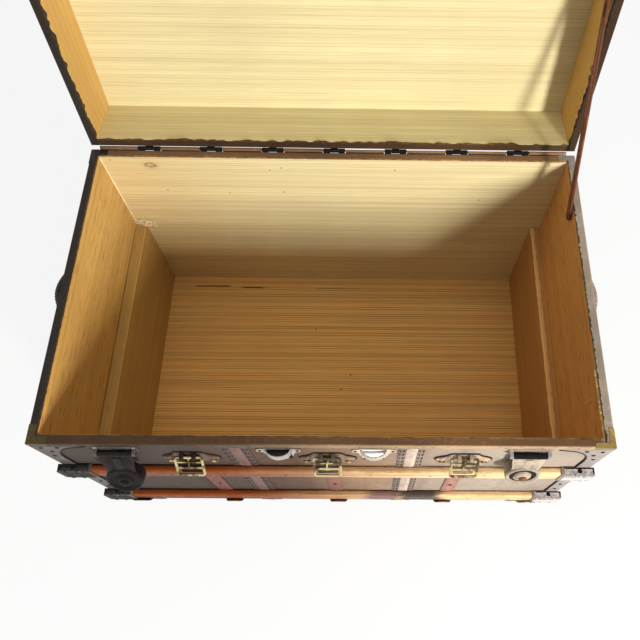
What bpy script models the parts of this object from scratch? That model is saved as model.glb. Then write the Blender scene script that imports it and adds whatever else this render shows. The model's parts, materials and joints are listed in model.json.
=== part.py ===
"""Flat-top travelling trunk with its lid propped open, built piece by piece.

Metres, +Z up, +X to the trunk's right, -Y to its front. The origin is on the floor, under the
middle of the box. Each function below makes one piece, or one family of like pieces.
"""
import math

import bmesh
import bpy
from mathutils import Matrix, Vector

# Clearance between pieces that touch, and between a pin and its bore
CLEAR = 0.0003

# Box and lid, measured over the canvas
BODY_WIDTH = 0.911
BODY_DEPTH = 0.560
BODY_HEIGHT = 0.484
LID_HEIGHT = 0.112
LID_GAP = 0.0006
LID_OPEN = math.radians(100.0)

# Sheet and board thicknesses
BOARD = 0.0125
CANVAS = 0.0015
BINDING = 0.0012
IRON = 0.0015
PLATE = 0.0015

# Rim binding, tray supports
BINDING_LEG = 0.014
TRAY_SUPPORT = 0.020
TRAY_DROP = 0.230

# Wooden slats and runners
SLAT = 0.013
SLAT_HEIGHT = 0.040
UPPER_SLAT_DROP = 0.143
LOWER_SLAT_RISE = 0.076
RUNNER = 0.012
RUNNER_WIDTH = 0.045
RUNNER_INSET = 0.090
RUNNER_END = 0.012
LID_SLAT_INSET = 0.100

# Corner irons with their bumpers and slat clamps
LEG = 0.024
BUMPER = 0.084
BUMPER_HEIGHT = 0.072
TOE = 0.050
SLAT_TO_LEG = 0.002
CLAMP_GRIP = 0.022
CLAMP_WALL = 0.002
CLAMP_OVERHANG = 0.0085
LID_BUMPER_HEIGHT = 0.060

# Strip hinge along the back
HINGE_COUNT = 7
HINGE_WIDTH = 0.041
KNUCKLE = 0.004
HINGE_PIN = 0.0019
CENTRE_KNUCKLE = 0.015
HINGE_LEAF = 0.020
LEAF_MARGIN = 0.001

# Buckles: plate on the box, swinging frame, catch on the lid
BUCKLE_PLATE_WIDTH = 0.092
BUCKLE_PLATE_ABOVE = 0.006
BUCKLE_PLATE_BELOW = 0.056
BUCKLE_DROP = 0.0563
BUCKLE_STANDOFF = 0.008
FRAME_WIDTH = 0.048
FRAME_LENGTH = 0.048
FRAME_BAR = 0.005
FRAME_CROSSBAR = 0.024
FRAME_PIVOT = 0.0021
FRAME_TILT = math.radians(25.0)
BUCKLE_LUG = 0.007
BUCKLE_LUG_SPACING = 0.020
STOP_WIDTH = 0.025
STOP_START = 0.010
STOP_END = 0.0275
STOP_TAPER = 0.010
CATCH_WIDTH = 0.016
CATCH_HEIGHT = 0.008
CATCH_REACH = 0.0135
CATCH_TONGUE = 0.0024
CATCH_PLATE_HEIGHT = 0.024
CATCH_PLATE_MARGIN = 0.006

# Hasps: plate on the box, swinging arm with a cup, stud on the lid
HASP_PLATE_WIDTH = 0.070
HASP_PLATE_HEIGHT = 0.026
HASP_DROP = 0.030
HASP_STANDOFF = 0.008
HASP_WIDTH = 0.054
HASP_BARREL = 0.005
HASP_PIN = 0.0025
HASP_SHEET = 0.0025
HASP_NECK = 0.046
HASP_REACH = 0.069
LEFT_HASP_LIFT = math.radians(11.5)
CUP_RADIUS = 0.030
CUP_WALL = 0.0035
CUP_DEPTH = 0.0165
CUP_FRONT = 0.004
CUP_SKIN = 0.003
HASP_LUG = 0.006
STUD_RADIUS = 0.011
STUD_REACH = 0.012
STUD_PLATE = 0.030

# Dowels: half-round loop on the box, tongue on the lid
SOCKET_FLANGE = 0.072
SOCKET_HEIGHT = 0.020
SOCKET_DROP = 0.022
SOCKET_WIDTH = 0.042
SOCKET_REACH = 0.015
SOCKET_WALL = 0.002
TONGUE_GAP = 0.0022
TONGUE_BACK = 0.0030
TONGUE_PLATE = 0.0045
TONGUE_PLATE_WIDTH = 0.060
TONGUE_PLATE_HEIGHT = 0.026
TONGUE_DIP = 0.004

# Spaces between neighbouring fittings along the front, and how far the inner ones sit to the right
FITTING_GAP = 0.008
HASP_TO_BUCKLE = 0.104
SOCKET_SPACING = 0.152
FITTING_SHIFT = 0.004

# Leather handles on the ends
HANDLE_SPAN = 0.265
HANDLE_WIDTH = 0.028
HANDLE_LEATHER = 0.008
HANDLE_RISE_LEFT = 0.040
HANDLE_RISE_RIGHT = 0.025
HANDLE_TAB = 0.034
HANDLE_BACK = 0.025
HANDLE_DROP = 0.090
HANDLE_PLATE = 0.002
HANDLE_PLATE_MARGIN = 0.010
BRIDGE = 0.022
BRIDGE_SHEET = 0.0018
BRIDGE_FOOT = 0.006

# Slotted lid stay on the right end
STAY_WIDTH = 0.021
STAY_SHEET = 0.003
STAY_GAP = 0.003
STAY_SLOT = 0.007
STAY_FROM_HINGE = 0.126
STAY_DROP = 0.018
STAY_BOSS = 0.006
STAY_HEAD = 0.002
STAY_STUD_REACH = 0.300
STAY_STUD_RISE = 0.020
STAY_STUD = 0.005
STAY_STUD_GAP = 0.0005

# Facets of a full circle, on fittings and on the small hinge knuckles
ROUND_SIDES = 24
HINGE_SIDES = 12

# Places worked out from the sizes above
HALF_X = BODY_WIDTH / 2
HALF_Y = BODY_DEPTH / 2
BASE_Z = RUNNER + CLEAR
RIM_Z = BASE_Z + BODY_HEIGHT
BOARD_X = HALF_X - CANVAS - CLEAR
BOARD_Y = HALF_Y - CANVAS - CLEAR
INNER_X = BOARD_X - BOARD
INNER_Y = BOARD_Y - BOARD
BOARD_LOW = BASE_Z + CANVAS + CLEAR
BOARD_HIGH = RIM_Z - BINDING - CLEAR
FLOOR_Z = BOARD_LOW + BOARD
LID_Z = RIM_Z + LID_GAP
LID_TOP = LID_Z + LID_HEIGHT
IRON_TOP = RIM_Z - BINDING_LEG - CLEAR
SLAT_END = LEG + SLAT_TO_LEG
BINDING_OUT = CLEAR + BINDING
HINGE_Y = HALF_Y + BINDING_OUT + CLEAR + KNUCKLE
HINGE_Z = RIM_Z + LID_GAP / 2
HINGE = Vector((0.0, HINGE_Y, HINGE_Z))
HINGE_REACH = HALF_X - BUMPER - LEAF_MARGIN
HINGE_PITCH = (2 * HINGE_REACH - HINGE_WIDTH - 2 * LEAF_MARGIN) / (HINGE_COUNT - 1)
HASP_X = HALF_X - BUMPER - FITTING_GAP - HASP_PLATE_WIDTH / 2
BUCKLE_X = HASP_X - HASP_TO_BUCKLE
SLAT_FRONT = CLEAR + SLAT

# Colours (linear red, green, blue), roughness and metallic value of each kind of surface
PINE = ((0.52, 0.30, 0.11), 0.65, 0.0)
CANVAS_PAINT = ((0.26, 0.19, 0.14), 0.85, 0.0)
BINDING_PAINT = ((0.17, 0.11, 0.06), 0.6, 0.2)
SLAT_WOOD = ((0.42, 0.19, 0.08), 0.6, 0.0)
DARK_STEEL = ((0.10, 0.07, 0.055), 0.55, 0.7)
BRASS = ((0.60, 0.40, 0.13), 0.4, 0.9)
GREY_STEEL = ((0.33, 0.30, 0.27), 0.45, 0.85)
RUST = ((0.20, 0.075, 0.045), 0.75, 0.4)
LEATHER = ((0.06, 0.035, 0.022), 0.6, 0.0)


def clear_scene():
    """Empties the scene of objects left from before."""
    for item in list(bpy.data.objects):
        bpy.data.objects.remove(item, do_unlink=True)


def finish(name, shape, look, place=(0, 0, 0), parent=None, smooth=False):
    """Makes a mesh object of a bmesh, with its own material, at a place under a parent."""
    bmesh.ops.recalc_face_normals(shape, faces=shape.faces)
    mesh = bpy.data.meshes.new(name)
    shape.to_mesh(mesh)
    shape.free()
    if smooth:
        mesh.shade_smooth()
        mesh.set_sharp_from_angle(angle=math.radians(35))
    item = bpy.data.objects.new(name, mesh)
    bpy.context.scene.collection.objects.link(item)
    item.location = place
    item.parent = parent
    if look is not None:
        colour, rough, metal = look
        material = bpy.data.materials.new(name)
        material.use_nodes = True
        shader = material.node_tree.nodes["Principled BSDF"]
        shader.inputs["Base Color"].default_value = (*colour, 1.0)
        shader.inputs["Roughness"].default_value = rough
        shader.inputs["Metallic"].default_value = metal
        mesh.materials.append(material)
    return item


def combine(item, operation, shape):
    """Joins a shape to an object, or cuts it out, with a Boolean that stays on the object."""
    tool = finish(f"{item.name}_{operation.lower()}_{len(item.modifiers)}", shape, None, parent=item)
    tool.hide_render = True
    tool.display_type = 'WIRE'
    step = item.modifiers.new(operation.lower(), 'BOOLEAN')
    step.operation = operation
    step.solver = 'EXACT'
    step.object = tool


def add_box(shape, low, high):
    """Adds a box between two corners."""
    size = Vector(high) - Vector(low)
    middle = (Vector(high) + Vector(low)) / 2
    matrix = Matrix.Translation(middle) @ Matrix.Diagonal((*size, 1.0))
    bmesh.ops.create_cube(shape, size=1.0, matrix=matrix)


def add_loft(shape, loops):
    """Adds a closed solid through loops of equal length, capped at both ends."""
    rows = [[shape.verts.new(point) for point in loop] for loop in loops]
    count = len(rows[0])
    for low, high in zip(rows, rows[1:]):
        for i in range(count):
            j = (i + 1) % count
            shape.faces.new((low[i], low[j], high[j], high[i]))
    shape.faces.new(list(reversed(rows[0])))
    shape.faces.new(rows[-1])


def add_prism(shape, outline, axis, low, high):
    """Adds an outline extruded along an axis; its points lie in the other two, in XYZ order."""
    def lift(point, height):
        place = list(point)
        place.insert("XYZ".index(axis), height)
        return place
    add_loft(shape, [[lift(p, low) for p in outline], [lift(p, high) for p in outline]])


def add_ring(shape, section, half_x, half_y):
    """Adds a closed rectangular ring with mitred corners from a section (outward, height)."""
    rows = []
    for sx, sy in ((-1, -1), (1, -1), (1, 1), (-1, 1)):
        rows.append([shape.verts.new((sx * (half_x + out), sy * (half_y + out), z)) for out, z in section])
    count = len(section)
    for k in range(4):
        low = rows[k]
        high = rows[(k + 1) % 4]
        for i in range(count):
            j = (i + 1) % count
            shape.faces.new((low[i], low[j], high[j], high[i]))


def add_cells(shape, xs, zs, filled, low, high):
    """Adds a plate made of grid cells, so that a frame can have windows; it lies along X and Z."""
    points = {}

    def corner(i, k, side):
        key = (i, k, side)
        if key not in points:
            points[key] = shape.verts.new((xs[i], (low, high)[side], zs[k]))
        return points[key]
    for i, k in filled:
        ring = ((i, k), (i + 1, k), (i + 1, k + 1), (i, k + 1))
        for side in (0, 1):
            shape.faces.new([corner(a, b, side) for a, b in ring])
        sides = ((i, k - 1), (i + 1, k), (i, k + 1), (i - 1, k))
        for n, neighbour in enumerate(sides):
            if neighbour not in filled:
                a, b = ring[n], ring[(n + 1) % 4]
                shape.faces.new((corner(*a, 0), corner(*b, 0), corner(*b, 1), corner(*a, 1)))


def arc(radius_x, radius_y, start, end, steps, centre=(0.0, 0.0)):
    """Points along an ellipse from one angle to another."""
    points = []
    for n in range(steps + 1):
        angle = start + (end - start) * n / steps
        points.append((centre[0] + radius_x * math.cos(angle), centre[1] + radius_y * math.sin(angle)))
    return points


def circle(radius, centre=(0.0, 0.0), sides=ROUND_SIDES):
    """Points of a full circle."""
    return arc(radius, radius, 0.0, 2 * math.pi, sides, centre)[:-1]


def stadium(half_width, start, end):
    """Outline of a strip with round ends, along the first coordinate."""
    half_turn = ROUND_SIDES // 2
    far = arc(half_width, half_width, -math.pi / 2, math.pi / 2, half_turn, (end, 0.0))
    near = arc(half_width, half_width, math.pi / 2, 3 * math.pi / 2, half_turn, (start, 0.0))
    return far + near


def rest_tilt(along, across, reach):
    """Angle t that solves along * sin(t) - across * cos(t) = reach, for an arm that rests on a stop."""
    return math.asin(reach / math.hypot(along, across)) + math.atan2(across, along)


def box_piece(name, low, high, look, parent=None, origin=(0, 0, 0)):
    """Makes a plain board between two corners, with its own origin in its middle."""
    middle = (Vector(high) + Vector(low)) / 2
    shape = bmesh.new()
    add_box(shape, Vector(low) - middle, Vector(high) - middle)
    return finish(name, shape, look, middle - Vector(origin), parent)


def add_tray(shape, low, high, skin, open_top):
    """Adds a thin five-sided box between two corners, open at the top or at the bottom."""
    inner_low = Vector(low) + Vector((skin, skin, skin if open_top else 0.0))
    inner_high = Vector(high) - Vector((skin, skin, 0.0 if open_top else skin))

    def loop(a, b, z):
        return [shape.verts.new((x, y, z)) for x, y in ((a.x, a.y), (b.x, a.y), (b.x, b.y), (a.x, b.y))]
    near, far = (low, high) if open_top else (high, low)
    near_inner, far_inner = (inner_low, inner_high) if open_top else (inner_high, inner_low)
    outside = Vector(low), Vector(high)
    inside = inner_low, inner_high
    loops = (loop(*outside, near[2]), loop(*outside, far[2]), loop(*inside, far_inner.z),
             loop(*inside, near_inner.z))
    for a, b in zip(loops, loops[1:]):
        for i in range(4):
            j = (i + 1) % 4
            shape.faces.new((a[i], a[j], b[j], b[i]))
    shape.faces.new(loops[0])
    shape.faces.new(loops[3])


def make_boards():
    """Four walls and the floor of the box, butted together."""
    span_x, span_y = BOARD_X - BOARD - CLEAR, BOARD_Y - BOARD - CLEAR
    box_piece("front_panel", (-BOARD_X, -BOARD_Y, BOARD_LOW), (BOARD_X, -INNER_Y, BOARD_HIGH), PINE)
    box_piece("back_panel", (-BOARD_X, INNER_Y, BOARD_LOW), (BOARD_X, BOARD_Y, BOARD_HIGH), PINE)
    box_piece("left_panel", (-BOARD_X, -span_y, BOARD_LOW), (-INNER_X, span_y, BOARD_HIGH), PINE)
    box_piece("right_panel", (INNER_X, -span_y, BOARD_LOW), (BOARD_X, span_y, BOARD_HIGH), PINE)
    box_piece("floor_panel", (-span_x, -span_y, BOARD_LOW), (span_x, span_y, FLOOR_Z), PINE)


def make_tray_supports():
    """A thick board against each end wall, whose top edge carries the tray."""
    outer = INNER_X - CLEAR
    inner = outer - TRAY_SUPPORT
    depth = INNER_Y - CLEAR
    low, high = FLOOR_Z + CLEAR, RIM_Z - TRAY_DROP
    box_piece("left_tray_support", (-outer, -depth, low), (-inner, depth, high), PINE)
    box_piece("right_tray_support", (inner, -depth, low), (outer, depth, high), PINE)


def make_canvas():
    """The painted canvas skin round the box, open at the rim."""
    shape = bmesh.new()
    add_tray(shape, (-HALF_X, -HALF_Y, BASE_Z), (HALF_X, HALF_Y, BOARD_HIGH), CANVAS, True)
    finish("body_canvas", shape, CANVAS_PAINT)


def binding_section(top, flat, leg_end):
    """Angle section over the board edge: inner edge, under side, leg on the canvas."""
    inner = -(CANVAS + CLEAR + BOARD)
    return ((inner, flat), (CLEAR, flat), (CLEAR, leg_end), (BINDING_OUT, leg_end), (BINDING_OUT, top),
            (inner, top))


def make_rim_binding():
    """Metal-edged binding that caps the rim of the box."""
    shape = bmesh.new()
    section = binding_section(RIM_Z, RIM_Z - BINDING, RIM_Z - BINDING_LEG)
    add_ring(shape, section, HALF_X, HALF_Y)
    finish("body_rim_binding", shape, BINDING_PAINT)


def slat_levels():
    """Underside heights of the upper and lower slats."""
    return {"upper": RIM_Z - UPPER_SLAT_DROP - SLAT_HEIGHT, "lower": BASE_Z + LOWER_SLAT_RISE}


def make_slats():
    """Wooden slats along the front and back, between the corner irons."""
    reach = HALF_X - SLAT_END
    for level, low in slat_levels().items():
        for face, side in (("front", -1), ("back", 1)):
            near, far = side * (HALF_Y + CLEAR), side * (HALF_Y + SLAT_FRONT)
            y_low, y_high = min(near, far), max(near, far)
            box_piece(f"{face}_{level}_slat", (-reach, y_low, low), (reach, y_high, low + SLAT_HEIGHT),
                      SLAT_WOOD)


def make_runners():
    """Three wooden runners under the floor, which the trunk stands on."""
    reach = HALF_X - RUNNER_END
    offset = HALF_Y - RUNNER_INSET
    for place, y in (("front", -offset), ("centre", 0.0), ("rear", offset)):
        low = (-reach, y - RUNNER_WIDTH / 2, 0.0)
        box_piece(f"{place}_runner", low, (reach, y + RUNNER_WIDTH / 2, RUNNER), SLAT_WOOD)


def leaf(share):
    """Extra width of a bumper, from 1 at its wide edge to 0, along a quarter circle."""
    return 1.0 - math.sqrt(1.0 - (1.0 - share) ** 2)


def angle_loops(sx, sy, levels):
    """L-shaped loops of a corner iron at each (height, leg width), round the corner at the origin."""
    loops = []
    near, far = CLEAR, CLEAR + IRON
    for z, width in levels:
        points = ((far, far), (-width, far), (-width, near), (near, near), (near, -width), (far, -width))
        loops.append([(sx * x, sy * y, z) for x, y in points])
    return loops


def bumper_levels(edge, direction, height):
    """Heights and leg widths of a bumper from its wide edge towards the plain leg."""
    steps = 7
    levels = []
    for n in range(steps + 1):
        share = n / steps
        levels.append((edge + direction * height * share, LEG + (BUMPER - LEG) * leaf(share)))
    return levels


def corner_names():
    """Names and signs of the four upright corners."""
    return (("front_left", -1, -1), ("front_right", 1, -1), ("rear_left", -1, 1), ("rear_right", 1, 1))


def corner_plate(sx, sy, size):
    """Outline of a flat corner plate that overlaps the iron's legs by half their thickness."""
    edge = CLEAR + IRON / 2
    cut = arc(size / 2, size / 2, 0.0, math.pi / 2, 6, (-size, -size))
    outline = [(edge, edge), (edge, -size)] + cut + [(-size, edge)]
    return [(sx * x, sy * y) for x, y in outline]


def make_corner_irons():
    """Upright irons with bumpers at both ends, a toe under the box and a clamp on each slat end."""
    for name, sx, sy in corner_names():
        toe_high = -CLEAR
        toe_low = toe_high - IRON
        top = IRON_TOP - BASE_Z
        lower = bumper_levels((toe_low + toe_high) / 2, 1, BUMPER_HEIGHT)
        upper = bumper_levels(top, -1, BUMPER_HEIGHT)
        shape = bmesh.new()
        add_loft(shape, angle_loops(sx, sy, lower + upper[::-1]))
        iron = finish(f"{name}_corner_iron", shape, DARK_STEEL, (sx * HALF_X, sy * HALF_Y, BASE_Z))
        toe = bmesh.new()
        add_prism(toe, corner_plate(sx, sy, TOE), "Z", toe_low, toe_high)
        combine(iron, 'UNION', toe)
        clamps, pockets = bmesh.new(), bmesh.new()
        for low in slat_levels().values():
            foot, head = low - BASE_Z - CLEAR, low - BASE_Z + SLAT_HEIGHT + CLEAR
            outer = CLEAR + IRON / 2
            ends = sorted((sx * (outer + CLAMP_OVERHANG), -sx * (SLAT_END + CLAMP_GRIP)))
            rise = sorted((sy * outer, sy * (SLAT_FRONT + CLEAR + CLAMP_WALL)))
            add_box(clamps, (ends[0], rise[0], foot - CLAMP_WALL), (ends[1], rise[1], head + CLAMP_WALL))
            ends = sorted((-sx * (SLAT_END - CLEAR), -sx * (SLAT_END + 2 * CLAMP_GRIP)))
            rise = sorted((-sy * IRON, sy * (SLAT_FRONT + CLEAR)))
            add_box(pockets, (ends[0], rise[0], foot), (ends[1], rise[1], head))
        combine(iron, 'UNION', clamps)
        combine(iron, 'DIFFERENCE', pockets)


def handle_out(y, rise):
    """Distance of a handle's back from its plate at a place along it."""
    free = HANDLE_SPAN / 2 - HANDLE_TAB
    share = min(abs(y) / free, 1.0)
    return rise * math.cos(share * math.pi / 2) ** 2


def make_handles():
    """A bowed leather handle on each end, held by a plate with a bridge over each of its tabs."""
    plate_face = CLEAR + HANDLE_PLATE
    back = plate_face + CLEAR
    half_width = HANDLE_WIDTH / 2
    top = back + HANDLE_LEATHER + CLEAR
    wall = half_width + CLEAR
    for side, sx, rise in (("left", -1, HANDLE_RISE_LEFT), ("right", 1, HANDLE_RISE_RIGHT)):
        place = (sx * HALF_X, HANDLE_BACK, RIM_Z - HANDLE_DROP)
        steps = 32
        stations = [HANDLE_SPAN * (n / steps - 0.5) for n in range(steps + 1)]
        loops = []
        for y in stations:
            slope = (handle_out(y + 1e-4, rise) - handle_out(y - 1e-4, rise)) / 2e-4
            normal = Vector((1.0, -slope)).normalized()
            x = back + handle_out(y, rise)
            outer = Vector((x, y)) + normal * HANDLE_LEATHER
            loops.append([(sx * x, y, -half_width), (sx * outer.x, outer.y, -half_width),
                          (sx * outer.x, outer.y, half_width), (sx * x, y, half_width)])
        shape = bmesh.new()
        add_loft(shape, loops)
        finish(f"{side}_handle", shape, LEATHER, place)
        half_span = HANDLE_SPAN / 2 + HANDLE_PLATE_MARGIN
        foot = wall + BRIDGE_SHEET + BRIDGE_FOOT
        shape = bmesh.new()
        edges = sorted((sx * CLEAR, sx * plate_face))
        tall = foot + HANDLE_PLATE
        add_box(shape, (edges[0], -half_span, -tall), (edges[1], half_span, tall))
        plate = finish(f"{side}_handle_plate", shape, DARK_STEEL, place)
        seat = CLEAR + HANDLE_PLATE / 2
        brim, crown, cheek = plate_face + BRIDGE_SHEET, top + BRIDGE_SHEET, wall + BRIDGE_SHEET
        hat = ((seat, -foot), (brim, -foot), (brim, -cheek), (crown, -cheek), (crown, cheek), (brim, cheek),
               (brim, foot), (seat, foot), (seat, wall), (top, wall), (top, -wall), (seat, -wall))
        bridges = bmesh.new()
        for end in (-1, 1):
            middle = end * (HANDLE_SPAN / 2 - HANDLE_TAB / 2)
            loops = [[(sx * x, middle + shift, z) for x, z in hat] for shift in (-BRIDGE / 2, BRIDGE / 2)]
            add_loft(bridges, loops)
        combine(plate, 'UNION', bridges)


def lug_outline(standoff, radius):
    """Outline of a lug from inside its plate out and round its pivot (outward -Y, then height)."""
    root = -(CLEAR + PLATE / 2)
    round_end = arc(radius, radius, math.pi / 2, 3 * math.pi / 2, ROUND_SIDES // 2, (-standoff, 0.0))
    return [(root, radius)] + round_end + [(root, -radius)]


def make_pivot_plate(name, place, size, standoff, radius, bore, lugs, look):
    """A plate on the front with bored lugs, each given as its first and last X; returns the plate.
    The size is the plate's width and its edges below and above the lugs' bore."""
    shape = bmesh.new()
    add_box(shape, (-size[0] / 2, -CLEAR - PLATE, size[1]), (size[0] / 2, -CLEAR, size[2]))
    plate = finish(name, shape, look, place, smooth=True)
    ears = bmesh.new()
    for start, end in lugs:
        add_prism(ears, lug_outline(standoff, radius), "X", start, end)
    combine(plate, 'UNION', ears)
    holes = bmesh.new()
    add_prism(holes, circle(bore, (-standoff, 0.0)), "X", -size[0], size[0])
    combine(plate, 'DIFFERENCE', holes)
    return plate


def buckle_places():
    """Names and X places of the three buckles."""
    return (("left", FITTING_SHIFT - BUCKLE_X), ("centre", FITTING_SHIFT),
            ("right", FITTING_SHIFT + BUCKLE_X))


def socket_places():
    """Names and X places of the two dowel sockets."""
    return (("left", FITTING_SHIFT - SOCKET_SPACING / 2), ("right", FITTING_SHIFT + SOCKET_SPACING / 2))


def stop_outline():
    """Outline of the raised stop behind a frame (outward -Y, then height), from the frame's own back."""
    root = -(CLEAR + PLATE / 2)
    back = FRAME_BAR / 2 + CLEAR
    along, across = math.sin(FRAME_TILT), math.cos(FRAME_TILT)
    face = [(back * across - BUCKLE_STANDOFF - reach * along, -reach * across - back * along)
            for reach in (STOP_START, STOP_END)]
    return [(root, face[0][1]), face[0], face[1], (root, face[1][1] - STOP_TAPER)]


def make_buckles():
    """Riveted plates, each with a swinging two-window frame that hangs out on the plate's stop."""
    half = FRAME_WIDTH / 2
    half_bar = FRAME_BAR / 2
    xs = (-half, -half + FRAME_BAR, -half_bar, half_bar, half - FRAME_BAR, half)
    end, cross = -FRAME_LENGTH, -FRAME_CROSSBAR
    zs = (end, end + FRAME_BAR, cross - FRAME_BAR, cross, 0.0, half_bar)
    sides = {(i, k) for i in (0, 4) for k in range(5)}
    bars = {(i, k) for i in (1, 2, 3) for k in (0, 2)}
    filled = sides | bars | {(2, 3)}
    inner = BUCKLE_LUG_SPACING / 2 - BUCKLE_LUG / 2
    lugs = ((-inner - BUCKLE_LUG, -inner), (inner, inner + BUCKLE_LUG))
    size = (BUCKLE_PLATE_WIDTH, -BUCKLE_PLATE_BELOW, BUCKLE_PLATE_ABOVE)
    for name, x in buckle_places():
        place = Vector((x, -HALF_Y, RIM_Z - BUCKLE_DROP))
        plate = make_pivot_plate(f"{name}_buckle_plate", place, size, BUCKLE_STANDOFF, FRAME_BAR,
                                 FRAME_PIVOT + CLEAR, lugs, DARK_STEEL)
        stop = bmesh.new()
        add_prism(stop, stop_outline(), "X", -STOP_WIDTH / 2, STOP_WIDTH / 2)
        combine(plate, 'UNION', stop)
        shape = bmesh.new()
        add_cells(shape, xs, zs, filled, -half_bar, half_bar)
        pivot_place = place + Vector((0.0, -BUCKLE_STANDOFF, 0.0))
        frame = finish(f"{name}_buckle_frame", shape, BRASS, pivot_place, smooth=True)
        frame.rotation_euler.x = -FRAME_TILT
        pivot = bmesh.new()
        add_prism(pivot, circle(FRAME_PIVOT), "X", -half + half_bar, half - half_bar)
        combine(frame, 'UNION', pivot)


def hasp_tilt():
    """Angle from straight down at which a hasp's cup meets the canvas."""
    near = HASP_REACH - CUP_RADIUS
    return rest_tilt(near, CUP_DEPTH, CLEAR - HASP_STANDOFF)


def make_hasps():
    """Pivoted hasps: a barrel, a tapering arm and a round cup that closes over a stud. The left one
    is stiff and stands out from the canvas."""
    half = HASP_WIDTH / 2
    lug_start = half + CLEAR
    lugs = ((-lug_start - HASP_LUG, -lug_start), (lug_start, lug_start + HASP_LUG))
    size = (HASP_PLATE_WIDTH, -HASP_PLATE_HEIGHT / 2, HASP_PLATE_HEIGHT / 2)
    neck = HASP_NECK / 2
    cup_edge = -HASP_REACH + CUP_RADIUS
    arm = ((-half, 0.0), (half, 0.0), (half, -HASP_BARREL), (neck, cup_edge), (neck, -HASP_REACH),
           (-neck, -HASP_REACH), (-neck, cup_edge), (-half, -HASP_BARREL))
    rows = (("left", -HASP_X, DARK_STEEL, LEFT_HASP_LIFT), ("right", HASP_X, GREY_STEEL, 0.0))
    for name, x, look, lift in rows:
        place = Vector((x, -HALF_Y, RIM_Z - HASP_DROP))
        make_pivot_plate(f"{name}_hasp_plate", place, size, HASP_STANDOFF, HASP_BARREL, HASP_PIN + CLEAR,
                         lugs, look)
        shape = bmesh.new()
        add_prism(shape, arm, "Y", -HASP_SHEET / 2, HASP_SHEET / 2)
        hasp = finish(f"{name}_hasp", shape, look, place + Vector((0.0, -HASP_STANDOFF, 0.0)), smooth=True)
        hasp.rotation_euler.x = -hasp_tilt() - lift
        cup = bmesh.new()
        add_prism(cup, circle(CUP_RADIUS, (0.0, -HASP_REACH)), "Y", -CUP_FRONT, CUP_DEPTH)
        combine(hasp, 'UNION', cup)
        barrel = bmesh.new()
        add_prism(barrel, circle(HASP_BARREL), "X", -half + CLEAR, half - CLEAR)
        combine(hasp, 'UNION', barrel)
        pin = bmesh.new()
        reach = lug_start + HASP_LUG
        add_prism(pin, circle(HASP_PIN), "X", -reach, reach)
        combine(hasp, 'UNION', pin)
        hollow = bmesh.new()
        hollow_ring = circle(CUP_RADIUS - CUP_WALL, (0.0, -HASP_REACH))
        add_prism(hollow, hollow_ring, "Y", CUP_SKIN - CUP_FRONT, 2 * CUP_DEPTH)
        combine(hasp, 'DIFFERENCE', hollow)


def make_sockets():
    """Half-round loops on flanges near the rim, which take the lid's dowels."""
    root = -(CLEAR + PLATE / 2)
    for name, x in socket_places():
        place = (x, -HALF_Y, RIM_Z - SOCKET_DROP - SOCKET_HEIGHT / 2)
        shape = bmesh.new()
        half = SOCKET_HEIGHT / 2
        add_box(shape, (-SOCKET_FLANGE / 2, -CLEAR - PLATE, -half), (SOCKET_FLANGE / 2, -CLEAR, half))
        flange = finish(f"{name}_dowel_socket", shape, DARK_STEEL, place, smooth=True)
        steps = ROUND_SIDES // 2
        rise = SOCKET_REACH + root
        wide = SOCKET_WIDTH / 2
        outer = arc(wide, rise, math.pi, 2 * math.pi, steps, (0.0, root))
        inner = arc(wide - SOCKET_WALL, rise - SOCKET_WALL, 2 * math.pi, math.pi, steps, (0.0, root))
        loop = bmesh.new()
        margin = SOCKET_WALL / 2
        add_prism(loop, outer + inner, "Z", -half + margin, half - margin)
        combine(flange, 'UNION', loop)


def hinge_centres():
    """X places of the knuckle groups along the strip hinge."""
    return [HINGE_PITCH * (n - (HINGE_COUNT - 1) / 2) for n in range(HINGE_COUNT)]


def hinge_leaf(name, sign, parent, place):
    """A steel strip along the back, just below or above the hinge line."""
    near = HINGE_Y - KNUCKLE
    edges = sorted((sign * (KNUCKLE + LEAF_MARGIN), sign * (KNUCKLE + LEAF_MARGIN + HINGE_LEAF)))
    low = (-HINGE_REACH, near - HINGE_Y, edges[0])
    shape = bmesh.new()
    add_box(shape, low, (HINGE_REACH, near + PLATE - HINGE_Y, edges[1]))
    return finish(name, shape, DARK_STEEL, place, parent, smooth=True)


def make_body_hinge():
    """Strip on the box with two knuckles at each group and the pin riveted through them."""
    strip = hinge_leaf("body_hinge_strip", -1, None, HINGE)
    outer = HINGE_WIDTH / 2
    inner = CENTRE_KNUCKLE / 2 + CLEAR
    knuckles, tabs, pins = bmesh.new(), bmesh.new(), bmesh.new()
    for x in hinge_centres():
        for start, end in ((x - outer, x - inner), (x + inner, x + outer)):
            add_prism(knuckles, circle(KNUCKLE, sides=HINGE_SIDES), "X", start, end)
            low = (start + CLEAR, -KNUCKLE + CLEAR, -KNUCKLE - 2 * LEAF_MARGIN)
            add_box(tabs, low, (end - CLEAR, PLATE - KNUCKLE - CLEAR, 0.0))
        reach = outer + LEAF_MARGIN
        add_prism(pins, circle(HINGE_PIN, sides=HINGE_SIDES), "X", x - reach, x + reach)
    combine(strip, 'UNION', tabs)
    combine(strip, 'UNION', knuckles)
    combine(strip, 'UNION', pins)


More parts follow.
